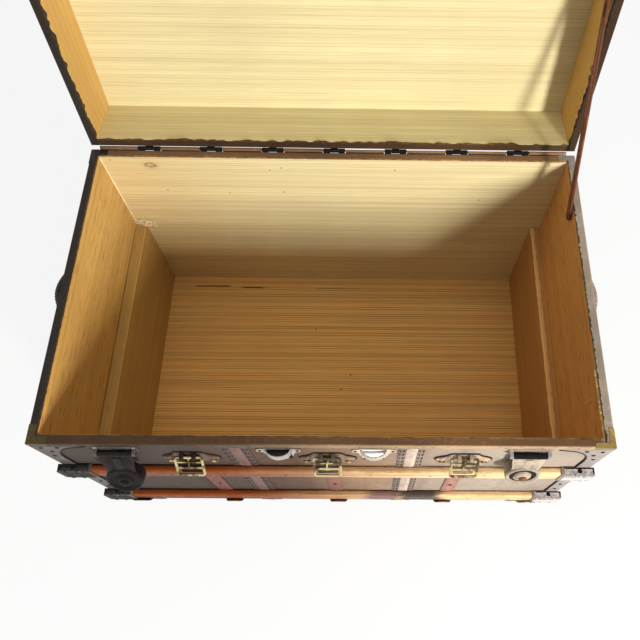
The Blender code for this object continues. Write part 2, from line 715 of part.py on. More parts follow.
def make_lid_hinge(lid):
    """Strip on the lid with one bored knuckle at each group."""
    strip = hinge_leaf("lid_hinge_strip", 1, lid, (0, 0, 0))
    half = CENTRE_KNUCKLE / 2
    knuckles, tabs, bores = bmesh.new(), bmesh.new(), bmesh.new()
    for x in hinge_centres():
        add_prism(knuckles, circle(KNUCKLE, sides=HINGE_SIDES), "X", x - half, x + half)
        low = (x - half + CLEAR, -KNUCKLE + CLEAR, 0.0)
        add_box(tabs, low, (x + half - CLEAR, PLATE - KNUCKLE - CLEAR, KNUCKLE + 2 * LEAF_MARGIN))
        reach = half + CLEAR
        add_prism(bores, circle(HINGE_PIN + CLEAR, sides=HINGE_SIDES), "X", x - reach, x + reach)
    combine(strip, 'UNION', tabs)
    combine(strip, 'UNION', knuckles)
    combine(strip, 'DIFFERENCE', bores)


def make_lid_shell(lid):
    """Lid boards, the canvas over them and the binding round their edge, modelled closed."""
    low = LID_Z + BINDING + CLEAR
    top_high = LID_TOP - CANVAS - CLEAR
    top_low = top_high - BOARD
    high = top_low - CLEAR
    span_y = INNER_Y - CLEAR
    boards = (
        ("lid_top_panel", (-BOARD_X, -BOARD_Y, top_low), (BOARD_X, BOARD_Y, top_high)),
        ("lid_front_rail", (-BOARD_X, -BOARD_Y, low), (BOARD_X, -INNER_Y, high)),
        ("lid_back_rail", (-BOARD_X, INNER_Y, low), (BOARD_X, BOARD_Y, high)),
        ("lid_left_rail", (-BOARD_X, -span_y, low), (-INNER_X, span_y, high)),
        ("lid_right_rail", (INNER_X, -span_y, low), (BOARD_X, span_y, high)),
    )
    for name, corner_low, corner_high in boards:
        box_piece(name, corner_low, corner_high, PINE, lid, HINGE)
    shape = bmesh.new()
    add_tray(shape, (-HALF_X, -HALF_Y, low), (HALF_X, HALF_Y, LID_TOP), CANVAS, False)
    finish("lid_canvas", shape, CANVAS_PAINT, -HINGE, lid)
    shape = bmesh.new()
    add_ring(shape, binding_section(LID_Z, LID_Z + BINDING, LID_Z + BINDING_LEG), HALF_X, HALF_Y)
    finish("lid_rim_binding", shape, BINDING_PAINT, -HINGE, lid)
    reach = HALF_X - SLAT_END
    base = LID_TOP + CLEAR
    for face, y in (("front", LID_SLAT_INSET - HALF_Y), ("rear", HALF_Y - LID_SLAT_INSET)):
        corner_low = (-reach, y - SLAT_HEIGHT / 2, base)
        corner_high = (reach, y + SLAT_HEIGHT / 2, base + SLAT)
        box_piece(f"lid_{face}_slat", corner_low, corner_high, SLAT_WOOD, lid, HINGE)


def make_lid_corners(lid):
    """Three-sided caps on the lid's corners."""
    foot = LID_Z + BINDING_LEG + CLEAR - LID_TOP
    plate_low, plate_high = CLEAR, CLEAR + IRON
    for name, sx, sy in corner_names():
        levels = bumper_levels((plate_low + plate_high) / 2, -1, LID_BUMPER_HEIGHT)
        shape = bmesh.new()
        add_loft(shape, angle_loops(sx, sy, [(foot, LEG)] + levels[::-1]))
        place = Vector((sx * HALF_X, sy * HALF_Y, LID_TOP)) - HINGE
        cap = finish(f"lid_{name}_corner", shape, DARK_STEEL, place, lid)
        plate = bmesh.new()
        add_prism(plate, corner_plate(sx, sy, BUMPER - LEG), "Z", plate_low, plate_high)
        combine(cap, 'UNION', plate)


def make_lid_catches(lid):
    """Catches for the buckle frames, studs for the hasp cups and tongues for the sockets."""
    plate_low = LID_Z + BINDING_LEG + CLEAR
    window = (FRAME_LENGTH - FRAME_BAR + FRAME_CROSSBAR + FRAME_BAR) / 2
    beak_z = RIM_Z - BUCKLE_DROP + window - plate_low
    beak_low, beak_high = beak_z - CATCH_HEIGHT / 2, beak_z + CATCH_HEIGHT / 2
    half = CATCH_WIDTH / 2
    wide = half + CATCH_PLATE_MARGIN
    root, back = -CLEAR - PLATE / 2, -BINDING - 2 * CLEAR
    top = CATCH_PLATE_HEIGHT - CATCH_PLATE_MARGIN
    hook = [(root, CLEAR), (root, top), (back - CATCH_TONGUE, top), (back - CATCH_TONGUE, beak_high),
            (-CATCH_REACH, beak_high), (-CATCH_REACH, beak_low), (back, beak_low), (back, CLEAR)]
    for name, x in buckle_places():
        shape = bmesh.new()
        add_box(shape, (-wide, -CLEAR - PLATE, 0.0), (wide, -CLEAR, CATCH_PLATE_HEIGHT))
        place = Vector((x, -HALF_Y, plate_low)) - HINGE
        catch = finish(f"lid_{name}_catch", shape, BRASS, place, lid)
        tongue = bmesh.new()
        add_prism(tongue, hook, "X", -half, half)
        combine(catch, 'UNION', tongue)
    tilt = hasp_tilt()
    stud_z = RIM_Z - HASP_DROP + HASP_REACH * math.cos(tilt) + CUP_DEPTH / 2 * math.sin(tilt)
    for name, x, look in (("left", -HASP_X, DARK_STEEL), ("right", HASP_X, GREY_STEEL)):
        shape = bmesh.new()
        side = STUD_PLATE / 2
        add_box(shape, (-side, -CLEAR - PLATE, -side), (side, -CLEAR, side))
        stud = finish(f"lid_{name}_stud", shape, look, Vector((x, -HALF_Y, stud_z)) - HINGE, lid, smooth=True)
        knob = bmesh.new()
        add_prism(knob, circle(STUD_RADIUS), "Y", -STUD_REACH, -CLEAR - PLATE / 2)
        combine(stud, 'UNION', knob)
    plate_high = plate_low + TONGUE_PLATE_HEIGHT
    tongue_low = RIM_Z - SOCKET_DROP - SOCKET_HEIGHT - TONGUE_DIP
    half_width = SOCKET_WIDTH / 2 - SOCKET_WALL - TONGUE_GAP
    rise = SOCKET_REACH - SOCKET_WALL - TONGUE_GAP - TONGUE_BACK
    tongue = arc(half_width, rise, math.pi, 2 * math.pi, ROUND_SIDES // 2, (0.0, -TONGUE_BACK))
    for name, x in socket_places():
        shape = bmesh.new()
        wide = TONGUE_PLATE_WIDTH / 2
        add_box(shape, (-wide, -TONGUE_PLATE, 0.0), (wide, -CLEAR, TONGUE_PLATE_HEIGHT))
        place = Vector((x, -HALF_Y, plate_low)) - HINGE
        dowel = finish(f"lid_{name}_dowel", shape, DARK_STEEL, place, lid, smooth=True)
        prong = bmesh.new()
        add_prism(prong, tongue, "Z", tongue_low - plate_low, plate_high - plate_low - TONGUE_DIP)
        combine(dowel, 'UNION', prong)


def stay_pivot():
    """Middle of the stay's pivot on the right end wall, at the wall's face."""
    return Vector((INNER_X, HINGE_Y - STAY_FROM_HINGE, RIM_Z - STAY_DROP))


def stay_line(lid_turn):
    """Length and angle of the stay from its pivot to the lid's stud, for a lid opened by an angle."""
    along, across = -STAY_STUD_REACH, STAY_STUD_RISE
    turned = (along * math.cos(lid_turn) + across * math.sin(lid_turn),
              across * math.cos(lid_turn) - along * math.sin(lid_turn))
    y = HINGE_Y + turned[0] - stay_pivot().y
    z = HINGE_Z + turned[1] - stay_pivot().z
    return math.hypot(y, z), math.atan2(z, y)


def make_stay(lid):
    """Flat slotted bar from the end wall to a stud inside the lid, which stops the lid."""
    open_length, open_angle = stay_line(LID_OPEN)
    closed_length = stay_line(0.0)[0]
    outer, inner = -STAY_GAP, -STAY_GAP - STAY_SHEET
    shape = bmesh.new()
    end = open_length + STAY_SLOT / 2
    add_prism(shape, stadium(STAY_WIDTH / 2, 0.0, end), "X", inner, outer)
    stay = finish("stay_bar", shape, RUST, stay_pivot(), smooth=True)
    stay.rotation_euler.x = open_angle
    slot = bmesh.new()
    add_prism(slot, stadium(STAY_SLOT / 2, closed_length, open_length), "X", 2 * inner, -outer)
    combine(stay, 'DIFFERENCE', slot)
    rivet = bmesh.new()
    add_prism(rivet, circle(STAY_BOSS), "X", inner - STAY_HEAD, -CLEAR)
    combine(stay, 'UNION', rivet)
    shape = bmesh.new()
    add_prism(shape, circle(STAY_STUD), "X", STAY_STUD_GAP - STAY_GAP, -CLEAR)
    place = Vector((INNER_X, -STAY_STUD_REACH, STAY_STUD_RISE))
    finish("lid_stay_stud", shape, RUST, place, lid, smooth=True)


def main():
    """Builds the trunk."""
    clear_scene()
    lid = bpy.data.objects.new("lid_axis", None)
    bpy.context.scene.collection.objects.link(lid)
    lid.location = HINGE
    lid.rotation_euler.x = -LID_OPEN
    make_boards()
    make_tray_supports()
    make_canvas()
    make_rim_binding()
    make_slats()
    make_runners()
    make_corner_irons()
    make_handles()
    make_buckles()
    make_hasps()
    make_sockets()
    make_body_hinge()
    make_lid_shell(lid)
    make_lid_corners(lid)
    make_lid_catches(lid)
    make_lid_hinge(lid)
    make_stay(lid)


main()
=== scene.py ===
"""Dresses a packed flat-top trunk: pine inside, painted canvas, slats, irons and brass fittings.

Metres, +Z up, +X to the trunk's right, -Y to its front. Every new piece is a surface worked out as
whole numpy arrays, and it sits at the origin with its place in its mesh.
"""
import json
import math
from collections import namedtuple

import bmesh
import bpy
import numpy as np
from bpy.props import FloatProperty, FloatVectorProperty, PointerProperty
from bpy.types import Operator, Panel, PropertyGroup
from mathutils import Matrix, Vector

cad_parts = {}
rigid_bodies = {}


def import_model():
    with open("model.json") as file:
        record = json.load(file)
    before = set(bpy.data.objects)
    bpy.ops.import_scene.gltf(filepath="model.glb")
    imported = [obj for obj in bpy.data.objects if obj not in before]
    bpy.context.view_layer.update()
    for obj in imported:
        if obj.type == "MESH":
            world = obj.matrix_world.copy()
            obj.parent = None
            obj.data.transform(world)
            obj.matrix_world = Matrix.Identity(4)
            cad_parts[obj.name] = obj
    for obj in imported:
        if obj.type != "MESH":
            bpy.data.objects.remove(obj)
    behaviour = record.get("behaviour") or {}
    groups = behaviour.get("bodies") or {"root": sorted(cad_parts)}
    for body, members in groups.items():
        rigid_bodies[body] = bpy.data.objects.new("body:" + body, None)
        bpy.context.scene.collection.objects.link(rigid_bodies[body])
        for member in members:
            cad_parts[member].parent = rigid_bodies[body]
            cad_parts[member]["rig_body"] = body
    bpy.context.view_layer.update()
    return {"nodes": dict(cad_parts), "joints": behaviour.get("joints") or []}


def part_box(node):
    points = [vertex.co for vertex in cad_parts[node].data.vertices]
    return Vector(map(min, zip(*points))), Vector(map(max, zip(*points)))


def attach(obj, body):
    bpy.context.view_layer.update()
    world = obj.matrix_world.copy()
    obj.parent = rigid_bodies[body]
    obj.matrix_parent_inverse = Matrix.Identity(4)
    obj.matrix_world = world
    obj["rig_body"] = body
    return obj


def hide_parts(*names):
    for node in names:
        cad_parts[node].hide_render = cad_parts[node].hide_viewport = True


bl_info = {
    "name": "Flat-top Trunk Dressing",
    "version": (1, 0, 0),
    "blender": (4, 5, 0),
    "location": "View3D > Sidebar > Trunk",
    "description": "Dresses the packed trunk in pine, canvas, slats, irons and brass",
    "category": "Object",
}

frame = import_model()

TURN = 2 * math.pi
X, Y, Z = np.eye(3)

# Clearance of a fitting from the canvas, and distance from the canvas to the face of a corner iron
CLEAR = 0.0003
IRON_FACE = CLEAR + 0.0015

BUCKLES = ("left", "centre", "right")
LEVELS = ("upper", "lower")
CORNERS = (("front_left", -1, -1), ("front_right", 1, -1), ("rear_left", -1, 1), ("rear_right", 1, 1))

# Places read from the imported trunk
JOINTS = {joint["name"]: joint for joint in frame["joints"]}
HINGE = np.array(JOINTS["lid_hinge"]["pos_m"])
LID_OPEN = math.radians(JOINTS["lid_hinge"]["range_deg"][1])
HALF_X, HALF_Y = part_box("body_canvas")[1][:2]
BASE_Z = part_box("body_canvas")[0].z
RIM_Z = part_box("body_rim_binding")[1].z
RIM_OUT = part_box("body_rim_binding")[1].x - HALF_X
RIM_LEG = RIM_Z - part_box("body_rim_binding")[0].z
INNER_X, INNER_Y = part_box("right_panel")[0].x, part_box("back_panel")[0].y
FLOOR_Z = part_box("floor_panel")[1].z
SUPPORT_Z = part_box("left_tray_support")[1].z
CLAMP_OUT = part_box("front_right_corner_iron")[1].x - HALF_X
CLAMP_DEEP = abs(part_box("front_right_corner_iron")[0].y) - HALF_Y
IRON_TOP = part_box("front_right_corner_iron")[1].z
BUCKLE_X = np.array([JOINTS[f"{name}_buckle_swing"]["pos_m"][0] for name in BUCKLES])

# Angles from straight down of the buckle frames as they hang, and of a hasp against the canvas
FRAME_TILT = math.radians(180.0 - JOINTS["centre_buckle_swing"]["range_deg"][1])
HASP_TILT = math.radians(12.457)

# Distance from one pair of dark lines to the next in the pine lining, from one thread of the canvas to
# the next, and from one twist of the sewing thread to the next
PINE_PITCH, WEAVE_PITCH, TWIST_PITCH = 0.0175, 0.0013, 0.0006

# Pine of the painted light on the right support's top edge, of loose fibres and of the right wall's torn edge
LIT_PINE, PALE_PINE, TORN_PINE = (0.80, 0.50, 0.19), (0.86, 0.76, 0.52), (0.64, 0.43, 0.17)

# Cracks in the floor: start, end, place across and width; the knot in the back: both places and size
FLOOR_CRACKS = ((-0.375, -0.270, 0.2375, 0.0026), (-0.262, -0.185, 0.2345, 0.0020),
                (-0.075, 0.055, 0.2335, 0.0012))
BACK_KNOTS = ((-0.352, 0.472, 0.010),)

# Ends of the shavings on the floor, in X and Y, and of the splinters on the right wall, in Y and Z
SHAVINGS = np.array([[(-0.2815, 0.1395), (-0.2740, 0.1445)], [(-0.2835, 0.1385), (-0.2795, 0.1345)]])
SPLINTERS = np.array([[(-0.1865, 0.4150), (-0.1935, 0.4730)], [(-0.1960, 0.4300), (-0.1905, 0.4480)]])

# Stains on the lower front slat: middle, half length and colour
STAINS = ((0.098, 0.045, (0.16, 0.085, 0.085)), (0.176, 0.052, (0.020, 0.022, 0.026)))

# Rivets of a corner iron: distance from the corner's edge and height
IRON_RIVETS = np.array([
    (0.012, IRON_TOP - 0.011), (0.038, IRON_TOP - 0.009), (0.020, IRON_TOP - 0.034),
    (0.012, IRON_TOP - 0.062), (0.012, 0.255), (0.012, 0.210), (0.012, 0.165),
    (0.038, BASE_Z + 0.007), (0.014, BASE_Z + 0.012), (0.012, BASE_Z + 0.046)])

# Upper and lower edge of a buckle's leaf-shaped plate: share of its half width, and height
LEAF_TOP = ((0.0, 0.44, 0.50, 0.62, 0.80, 0.93, 1.0),
            (0.005, 0.005, 0.002, -0.008, -0.013, -0.019, -0.025))
LEAF_FOOT = ((0.0, 0.22, 0.40, 0.55, 0.64, 0.74, 0.88, 0.96, 1.0),
             (-0.049, -0.052, -0.055, -0.053, -0.055, -0.054, -0.044, -0.033, -0.027))

# Leaf and ribs behind a buckle frame: start and end along it, and how far each stands forward
KEEPER_RIBS = ((0.0058, 0.0440, 0.0), (0.0165, 0.0181, -0.0012), (0.0318, 0.0334, -0.0014),
               (0.0372, 0.0388, -0.0014))

# Profile of a hasp's cup: radius, and depth behind the arm
HASP_CUP = ((0.0264, 0.0164), (0.0300, 0.0164), (0.0300, 0.0), (0.0294, -0.0030), (0.0278, -0.0046),
            (0.0258, -0.0050), (0.0244, -0.0044), (0.0230, -0.0024), (0.0212, -0.0018), (0.0150, -0.0018),
            (0.0138, -0.0030), (0.0130, -0.0044), (0.0112, -0.0054), (0.0080, -0.0058), (0.0040, -0.0060),
            (0.0, -0.0060), (0.0, -0.0010), (0.0264, -0.0010), (0.0264, 0.0164))

# Top and drop of a socket's shield: share of its half width, share of its half height or depth
SHIELD_TOP = ((0.0, 0.60, 0.72, 0.90, 0.97, 1.0), (1.0, 1.0, 0.75, 0.6, 0.3, -0.1))
SHIELD_DROP = ((0.0, 0.30, 0.60, 0.68, 0.76, 0.90, 0.97, 1.0),
               (0.062, 0.058, 0.036, 0.016, 0.012, 0.0105, 0.007, 0.002))
SOCKET_RIVETS = np.array([(-0.030, -0.0014, 0.0), (0.030, -0.0014, 0.0), (-0.0155, -0.0014, -0.047),
                          (0.0155, -0.0014, -0.047), (0.0, -0.0014, -0.0575)])

# Nails along a slat, nails in the back wall in X and Z, specks on the floor in X and Y, and the room
# that the nails of the rim leave for the lid's catches
SLAT_NAIL_X = np.array([-0.36, -0.275, -0.18, -0.075, 0.075, 0.18, 0.275, 0.36])
BACK_NAILS = np.array([(-0.424, 0.486), (-0.340, 0.392), (-0.216, 0.384), (-0.125, 0.461), (-0.103, 0.468),
                       (-0.106, 0.390), (0.293, 0.370), (0.116, 0.466), (0.41, 0.486), (0.38, 0.19),
                       (-0.38, 0.2)])
FLOOR_SPECKS = np.array([(-0.0609, 0.1225), (0.0257, 0.0048), (0.0050, -0.0307)])
CATCH_CLEAR = 0.020

# Camera of the photograph: place, angles down, round and tilted, focal length and middle in pixels
CAMERA_PLACE = (0.0738, -0.5352, 1.5204)
CAMERA_DOWN, CAMERA_ROUND, CAMERA_ROLL = 1.1414, 0.0306, 0.0376
CAMERA_FOCAL, CAMERA_MIDDLE, PHOTO_SIDE, SENSOR = 670.13, 380.0, 640.0, 36.0

# Lamps: name, place, point faced, size, power and colour
LAMPS = (("window", (1.62, -2.65, 1.52), (0.0, 0.1, 0.40), (0.36, 1.15), 162.0, (1.0, 0.97, 0.92)),
         ("ceiling", (0.15, -0.2, 3.4), (0.0, 0.0, 0.3), (2.4, 2.4), 18.0, (1.0, 0.985, 0.96)))

Part = namedtuple("Part", "points quads uv wear")


def size_property(name, description, default):
    """A length that a user may change."""
    return FloatProperty(name=name, description=description, default=default, unit='LENGTH')


def colour_property(name, description, default):
    """A colour that a user may change."""
    return FloatVectorProperty(name=name, description=description, default=default,
                               subtype='COLOR', min=0.0, max=1.0)


class TrunkSizes(PropertyGroup):
    """Sizes of the pieces that dress the trunk."""
    eased_edge: size_property("Eased edge", "Rounding on the edges of iron and brass", 0.0004)
    slat_edge: size_property("Slat edge", "Rounding on the edges of the slats", 0.0042)
    slat_dent: size_property("Slat dents", "Depth of the knocks in the slats", 0.0007)
    band_width: size_property("Band width", "Width of the stitched bands", 0.043)
    band_place: size_property("Band place", "Distance of each stitched band from the middle", 0.1405)
    band_thick: size_property("Band thickness", "Thickness of the stitched bands", 0.0014)
    stitch_pitch: size_property("Stitch pitch", "Distance from one stitch to the next", 0.024)
    stitch_long: size_property("Stitch length", "Length of a stitch", 0.015)
    strap_width: size_property("Strap width", "Width of the steel straps between the slats", 0.027)
    strap_thick: size_property("Strap thickness", "Thickness of the steel straps", 0.0014)
    rivet: size_property("Rivet radius", "Radius of a rivet head", 0.0034)
    nail: size_property("Nail radius", "Radius of a small nail head", 0.0021)
    wire: size_property("Buckle wire", "Radius of the wire of the buckle frames", 0.0024)
    brass_leg: size_property("Brass corner", "Length of each leg of the brass rim corners", 0.030)
    handle_crown: size_property("Handle crown", "Extra thickness in the middle of a handle", 0.0035)


class TrunkColours(PropertyGroup):
    """Colours of the trunk's finishes. Each colour that has a second, paler one is painted shade on the
    trunk's left-hand side, and that paler one is painted light on its right-hand side.
    """
    pine_back: colour_property("Pine, back", "Lining of the back wall", (0.69, 0.61, 0.345))
    pine_floor: colour_property("Pine, floor", "Lining of the floor", (0.72, 0.425, 0.135))
    pine_left: colour_property("Pine, left", "Lining of the left end", (0.62, 0.385, 0.120))
    pine_right: colour_property("Pine, right", "Lining of the right end", (0.66, 0.34, 0.110))
    canvas: colour_property("Canvas", "Painted canvas", (0.064, 0.050, 0.044))
    canvas_faded: colour_property("Canvas, faded", "Painted canvas, faded", (0.385, 0.32, 0.262))
    # The binding's left-end colour is painted shade and its right-end colour painted light
    binding: colour_property("Binding", "Binding round the rims", (0.115, 0.060, 0.027))
    binding_dark: colour_property("Binding, left", "Binding on the left end", (0.020, 0.015, 0.010))
    binding_faded: colour_property("Binding, right", "Binding on the right end", (0.38, 0.31, 0.24))
    slat: colour_property("Slats", "Varnished slats", (0.175, 0.042, 0.009))
    slat_faded: colour_property("Slats, faded", "Varnished slats, faded", (0.80, 0.57, 0.30))
    iron: colour_property("Iron", "Japanned iron fittings", (0.050, 0.042, 0.037))
    # The second corner-iron colour is painted light on the right-hand irons
    iron_faded: colour_property("Iron, faded", "Corner irons, worn", (0.40, 0.34, 0.315))
    steel: colour_property("Steel", "Bare steel fittings", (0.46, 0.42, 0.37))
    brass: colour_property("Brass", "Buckles and rim corners", (0.64, 0.52, 0.27))
    rust: colour_property("Rust", "Lid stay", (0.20, 0.075, 0.045))
    strap: colour_property("Straps", "Steel straps between the slats", (0.140, 0.050, 0.038))
    # The second strap colour is painted light on the right-hand straps
    strap_faded: colour_property("Straps, faded", "Steel straps, worn", (0.52, 0.262, 0.205))
    leather: colour_property("Leather", "Left handle", (0.050, 0.030, 0.020))
    leather_faded: colour_property("Leather, faded", "Right handle", (0.36, 0.29, 0.23))
    band: colour_property("Bands", "Stitched bands", (0.130, 0.073, 0.058))
    band_faded: colour_property("Bands, faded", "Stitched bands, faded", (0.70, 0.56, 0.46))
    band_edge: colour_property("Band edges", "Sewn edges of the bands", (0.070, 0.044, 0.037))
    edge_faded: colour_property("Band edges, faded", "Sewn edges, faded", (0.32, 0.255, 0.20))
    thread: colour_property("Thread", "Stitches", (0.030, 0.016, 0.014))


# Shapes: every one returns parts, whose grids are welded where their edges meet


def unit(vectors):
    """Vectors of length one."""
    return vectors / np.linalg.norm(vectors, axis=-1, keepdims=True)


def patch(points, wear=0.0):
    """One or more grids of points as quads, with the lengths along both ways as their UV map."""
    points = np.asarray(points, float)
    points = points.reshape(-1, *points.shape[-3:])
    count, rows, columns = points.shape[:3]
    corner = np.arange(rows * columns).reshape(rows, columns)
    quads = np.stack([corner[:-1, :-1], corner[:-1, 1:], corner[1:, 1:], corner[1:, :-1]], -1)
    quads = (quads.reshape(-1, 4)[None] + (np.arange(count) * rows * columns)[:, None, None]).reshape(-1, 4)
    ways = []
    for axis in (2, 1):
        steps = np.linalg.norm(np.diff(points, axis=axis), axis=-1)
        pad = [(0, 0)] * 3
        pad[axis] = (1, 0)
        ways.append(np.pad(np.cumsum(steps, axis=axis), pad))
    uv = np.stack(ways, -1).reshape(-1, 2)
    wear = np.broadcast_to(wear, (count, rows, columns)).reshape(-1)
    return Part(points.reshape(-1, 3), quads, uv, wear)


def xyz(x, y, z):
    """Points from their coordinates, each a number or an array."""
    return np.stack(np.broadcast_arrays(x, y, z), -1)


def shifted(parts, offset):
    """Parts carried by an offset."""
    return [part._replace(points=part.points + offset) for part in parts]


def hung(parts, tilt, pivot):
    """Parts made hanging from the origin, tilted out about X and carried to a pivot."""
    return [part._replace(points=turned(part.points, -tilt, np.zeros(3)) + pivot) for part in parts]


def turned(points, angle, pivot):
    """Points turned about an axis along X through a pivot."""
    offset = np.asarray(points, float) - pivot
    cosine, sine = math.cos(angle), math.sin(angle)
    y = offset[..., 1] * cosine - offset[..., 2] * sine
    z = offset[..., 1] * sine + offset[..., 2] * cosine
    return xyz(offset[..., 0], y, z) + pivot


def opened(points):
    """Points of the closed lid, turned about the hinge to where the lid stands open."""
    return turned(points, -LID_OPEN, HINGE)


def node_points(node):
    """All corners of a CAD node's mesh, as an array."""
    mesh = frame["nodes"][node].data
    points = np.empty(len(mesh.vertices) * 3)
    mesh.vertices.foreach_get("co", points)
    return points.reshape(-1, 3)


def open_box(node):
    """Lowest and highest corner of a node as it stands, as arrays."""
    return map(np.array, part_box(node))


def closed_box(node):
    """Lowest and highest corner of a lid node with the lid shut."""
    points = turned(node_points(node), LID_OPEN, HINGE)
    return points.min(0), points.max(0)


def rounded(width, height, radius, steps=3, flats=1):
    """Section of a bar: a quarter circle at each corner, joined by straight sides cut in flats."""
    angle = np.linspace(0, TURN / 4, steps + 1) + np.arange(4)[:, None] * TURN / 4
    signs = np.array([[1, 1], [-1, 1], [-1, -1], [1, -1]])
    centre = signs * (width / 2 - radius, height / 2 - radius)
    corners = centre[:, None] + radius * np.stack([np.cos(angle), np.sin(angle)], -1)
    share = (np.arange(1, flats) / flats)[:, None]
    after = np.roll(corners, -1, axis=0)[:, :1]
    between = corners[:, -1:] * (1 - share) + after * share
    loop = np.concatenate([corners, between], 1).reshape(-1, 2)
    worn = np.concatenate([np.ones((4, steps + 1)), np.zeros((4, flats - 1))], 1).reshape(-1)
    return np.concatenate([loop, loop[:1]]), np.append(worn, worn[0])


def ring_section(radius, sides=12):
    """Section of a round wire."""
    angle = np.linspace(0, TURN, sides + 1)
    return radius * np.stack([np.cos(angle), np.sin(angle)], -1)


def sweep(path, across, section, wear=0.0, capped=True):
    """A section carried along a path: its first number runs across the path, its second along the
    normal, which is across times tangent. A capped end draws in to the path's own end point."""
    path = np.asarray(path, float)
    across = np.broadcast_to(across, path.shape)
    tangent = unit(np.gradient(path, axis=0))
    normal = unit(np.cross(across, tangent))
    side = np.cross(tangent, normal)
    section = np.broadcast_to(section, (len(path), *np.shape(section)[-2:]))
    points = path[:, None] + section[..., :1] * side[:, None] + section[..., 1:] * normal[:, None]
    wear = np.broadcast_to(wear, points.shape[:2])
    if capped:
        ends = np.broadcast_to(path[[0, -1], None], (2, *points.shape[1:]))
        points = np.concatenate([ends[:1], points, ends[1:]])
        wear = np.concatenate([wear[:1], wear, wear[-1:]])
    return patch(points, wear)


def spin(profile, centres, axes, sides=16):
    """A profile of radius and height turned about an axis through each centre."""
    profile = np.asarray(profile, float)
    centres, axes = np.atleast_2d(centres), np.atleast_2d(axes)
    axes = unit(np.broadcast_to(axes, centres.shape).astype(float))
    guide = np.where(np.abs(axes[:, 2:]) < 0.9, Z, X)
    u = unit(np.cross(guide, axes))
    w = np.cross(axes, u)
    angle = np.linspace(0, TURN, sides + 1)
    around = u[:, None] * np.cos(angle)[:, None] + w[:, None] * np.sin(angle)[:, None]
    points = (centres[:, None, None] + profile[None, :, :1, None] * around[:, None]
              + profile[None, :, 1:, None] * axes[:, None, None])
    return patch(points)


def dome(radius, rise):
    """Profile of a rivet head: a flat foot, a short edge and a low dome."""
    angle = np.linspace(0, TURN / 4, 5)
    cap = np.stack([radius * np.cos(angle), rise * (0.25 + 0.75 * np.sin(angle))], -1)
    return np.concatenate([[(0.0, -0.0001), (radius, -0.0001)], cap])


def rivets(places, normal, radius, rise=None):
    """Rivet heads, each a dome turned about the normal at its place."""
    return spin(dome(radius, rise or radius * 0.5), places, normal, 12)


def plate(along, low, high, thick):
    """A flat plate in X and Z between two edge curves; its face stands out by the thickness along -Y,
    and its border drops back to the wall in two steps."""
    across = np.array([0.0, 0.0, 0.05, 0.3, 0.7, 0.95, 1.0, 1.0])
    rise = np.array([0.0, 0.65, 1.0, 1.0, 1.0, 1.0, 0.65, 0.0])
    thick = np.broadcast_to(thick, np.shape(along))
    along, low, high, thick = (np.pad(values, 1, mode="edge") for values in (along, low, high, thick))
    ends = np.ones(len(along))
    ends[[0, -1]] = 0.0
    z = low[:, None] + across * (high - low)[:, None]
    x = np.broadcast_to(along[:, None], z.shape)
    return [patch(xyz(x, -rise * (thick * ends)[:, None], z)), patch(xyz(x, 0.0, z))]


def hoop(section, half_x, half_y, per_side, wear=0.0):
    """A section of outward distance and height carried round a rectangle, mitred at its corners.
    A section may change from place to place."""
    signs = np.array([[-1, -1], [1, -1], [1, 1], [-1, 1]], float)
    share = np.linspace(0, 1, per_side, endpoint=False)[:, None]
    place = (signs[:, None] * (1 - share) + np.roll(signs, -1, axis=0)[:, None] * share).reshape(-1, 2)
    place = np.concatenate([place, place[:1]])
    section = np.broadcast_to(section, (len(place), *np.shape(section)[-2:]))
    x = place[:, :1] * (half_x + section[..., 0])
    y = place[:, 1:] * (half_y + section[..., 0])
    return patch(xyz(x, y, section[..., 1]), wear)


def grid_edge(grid, k):
    """One of the four edges of a grid of points."""
    return (grid[0], grid[-1], grid[:, 0], grid[:, -1])[k]


def uneven(shape, seed, passes=3):
    """Smooth random numbers from 0 to 1 on a grid that closes on itself."""
    grid = np.random.default_rng(seed).random(shape)
    for _ in range(passes):
        for axis in range(grid.ndim):
            grid = (np.roll(grid, 1, axis) + 2 * grid + np.roll(grid, -1, axis)) / 4
    return (grid - grid.min()) / max(np.ptp(grid), 1e-9)


def ragged(path, across, radius, girth, seed):
    """A round or flat section, whose girth changes unevenly, carried along a path."""
    low, spread = girth
    girth = (low + spread * uneven((len(path),), seed, 1))[:, None, None]
    return sweep(path, across, ring_section(1.0, 8) * radius * girth)


def zigzag(count):
    """Small steps to one side and the other, for a row of nails."""
    return 0.004 * (-1.0) ** np.arange(count)


def stitches(starts, ends, normal, thick):
    """Threads from start to end points, each a swept arc that stands out along the normal."""
    starts, ends = np.atleast_2d(starts), np.atleast_2d(ends)
    share = np.linspace(0, 1, 5)
    angle = np.linspace(0, TURN, 7)
    middle = starts[:, None] + (ends - starts)[:, None] * share[:, None]
    middle = middle + np.asarray(normal) * (0.6 * thick * np.sin(share * math.pi))[:, None]
    side = unit(np.cross(normal, ends - starts))
    girth = thick * np.sqrt(np.clip(np.sin(share * math.pi), 0.0, 1.0))
    around = side[:, None, None] * np.cos(angle)[:, None] + np.asarray(normal) * np.sin(angle)[:, None]
    return patch(middle[:, :, None] + girth[:, None, None] * around)


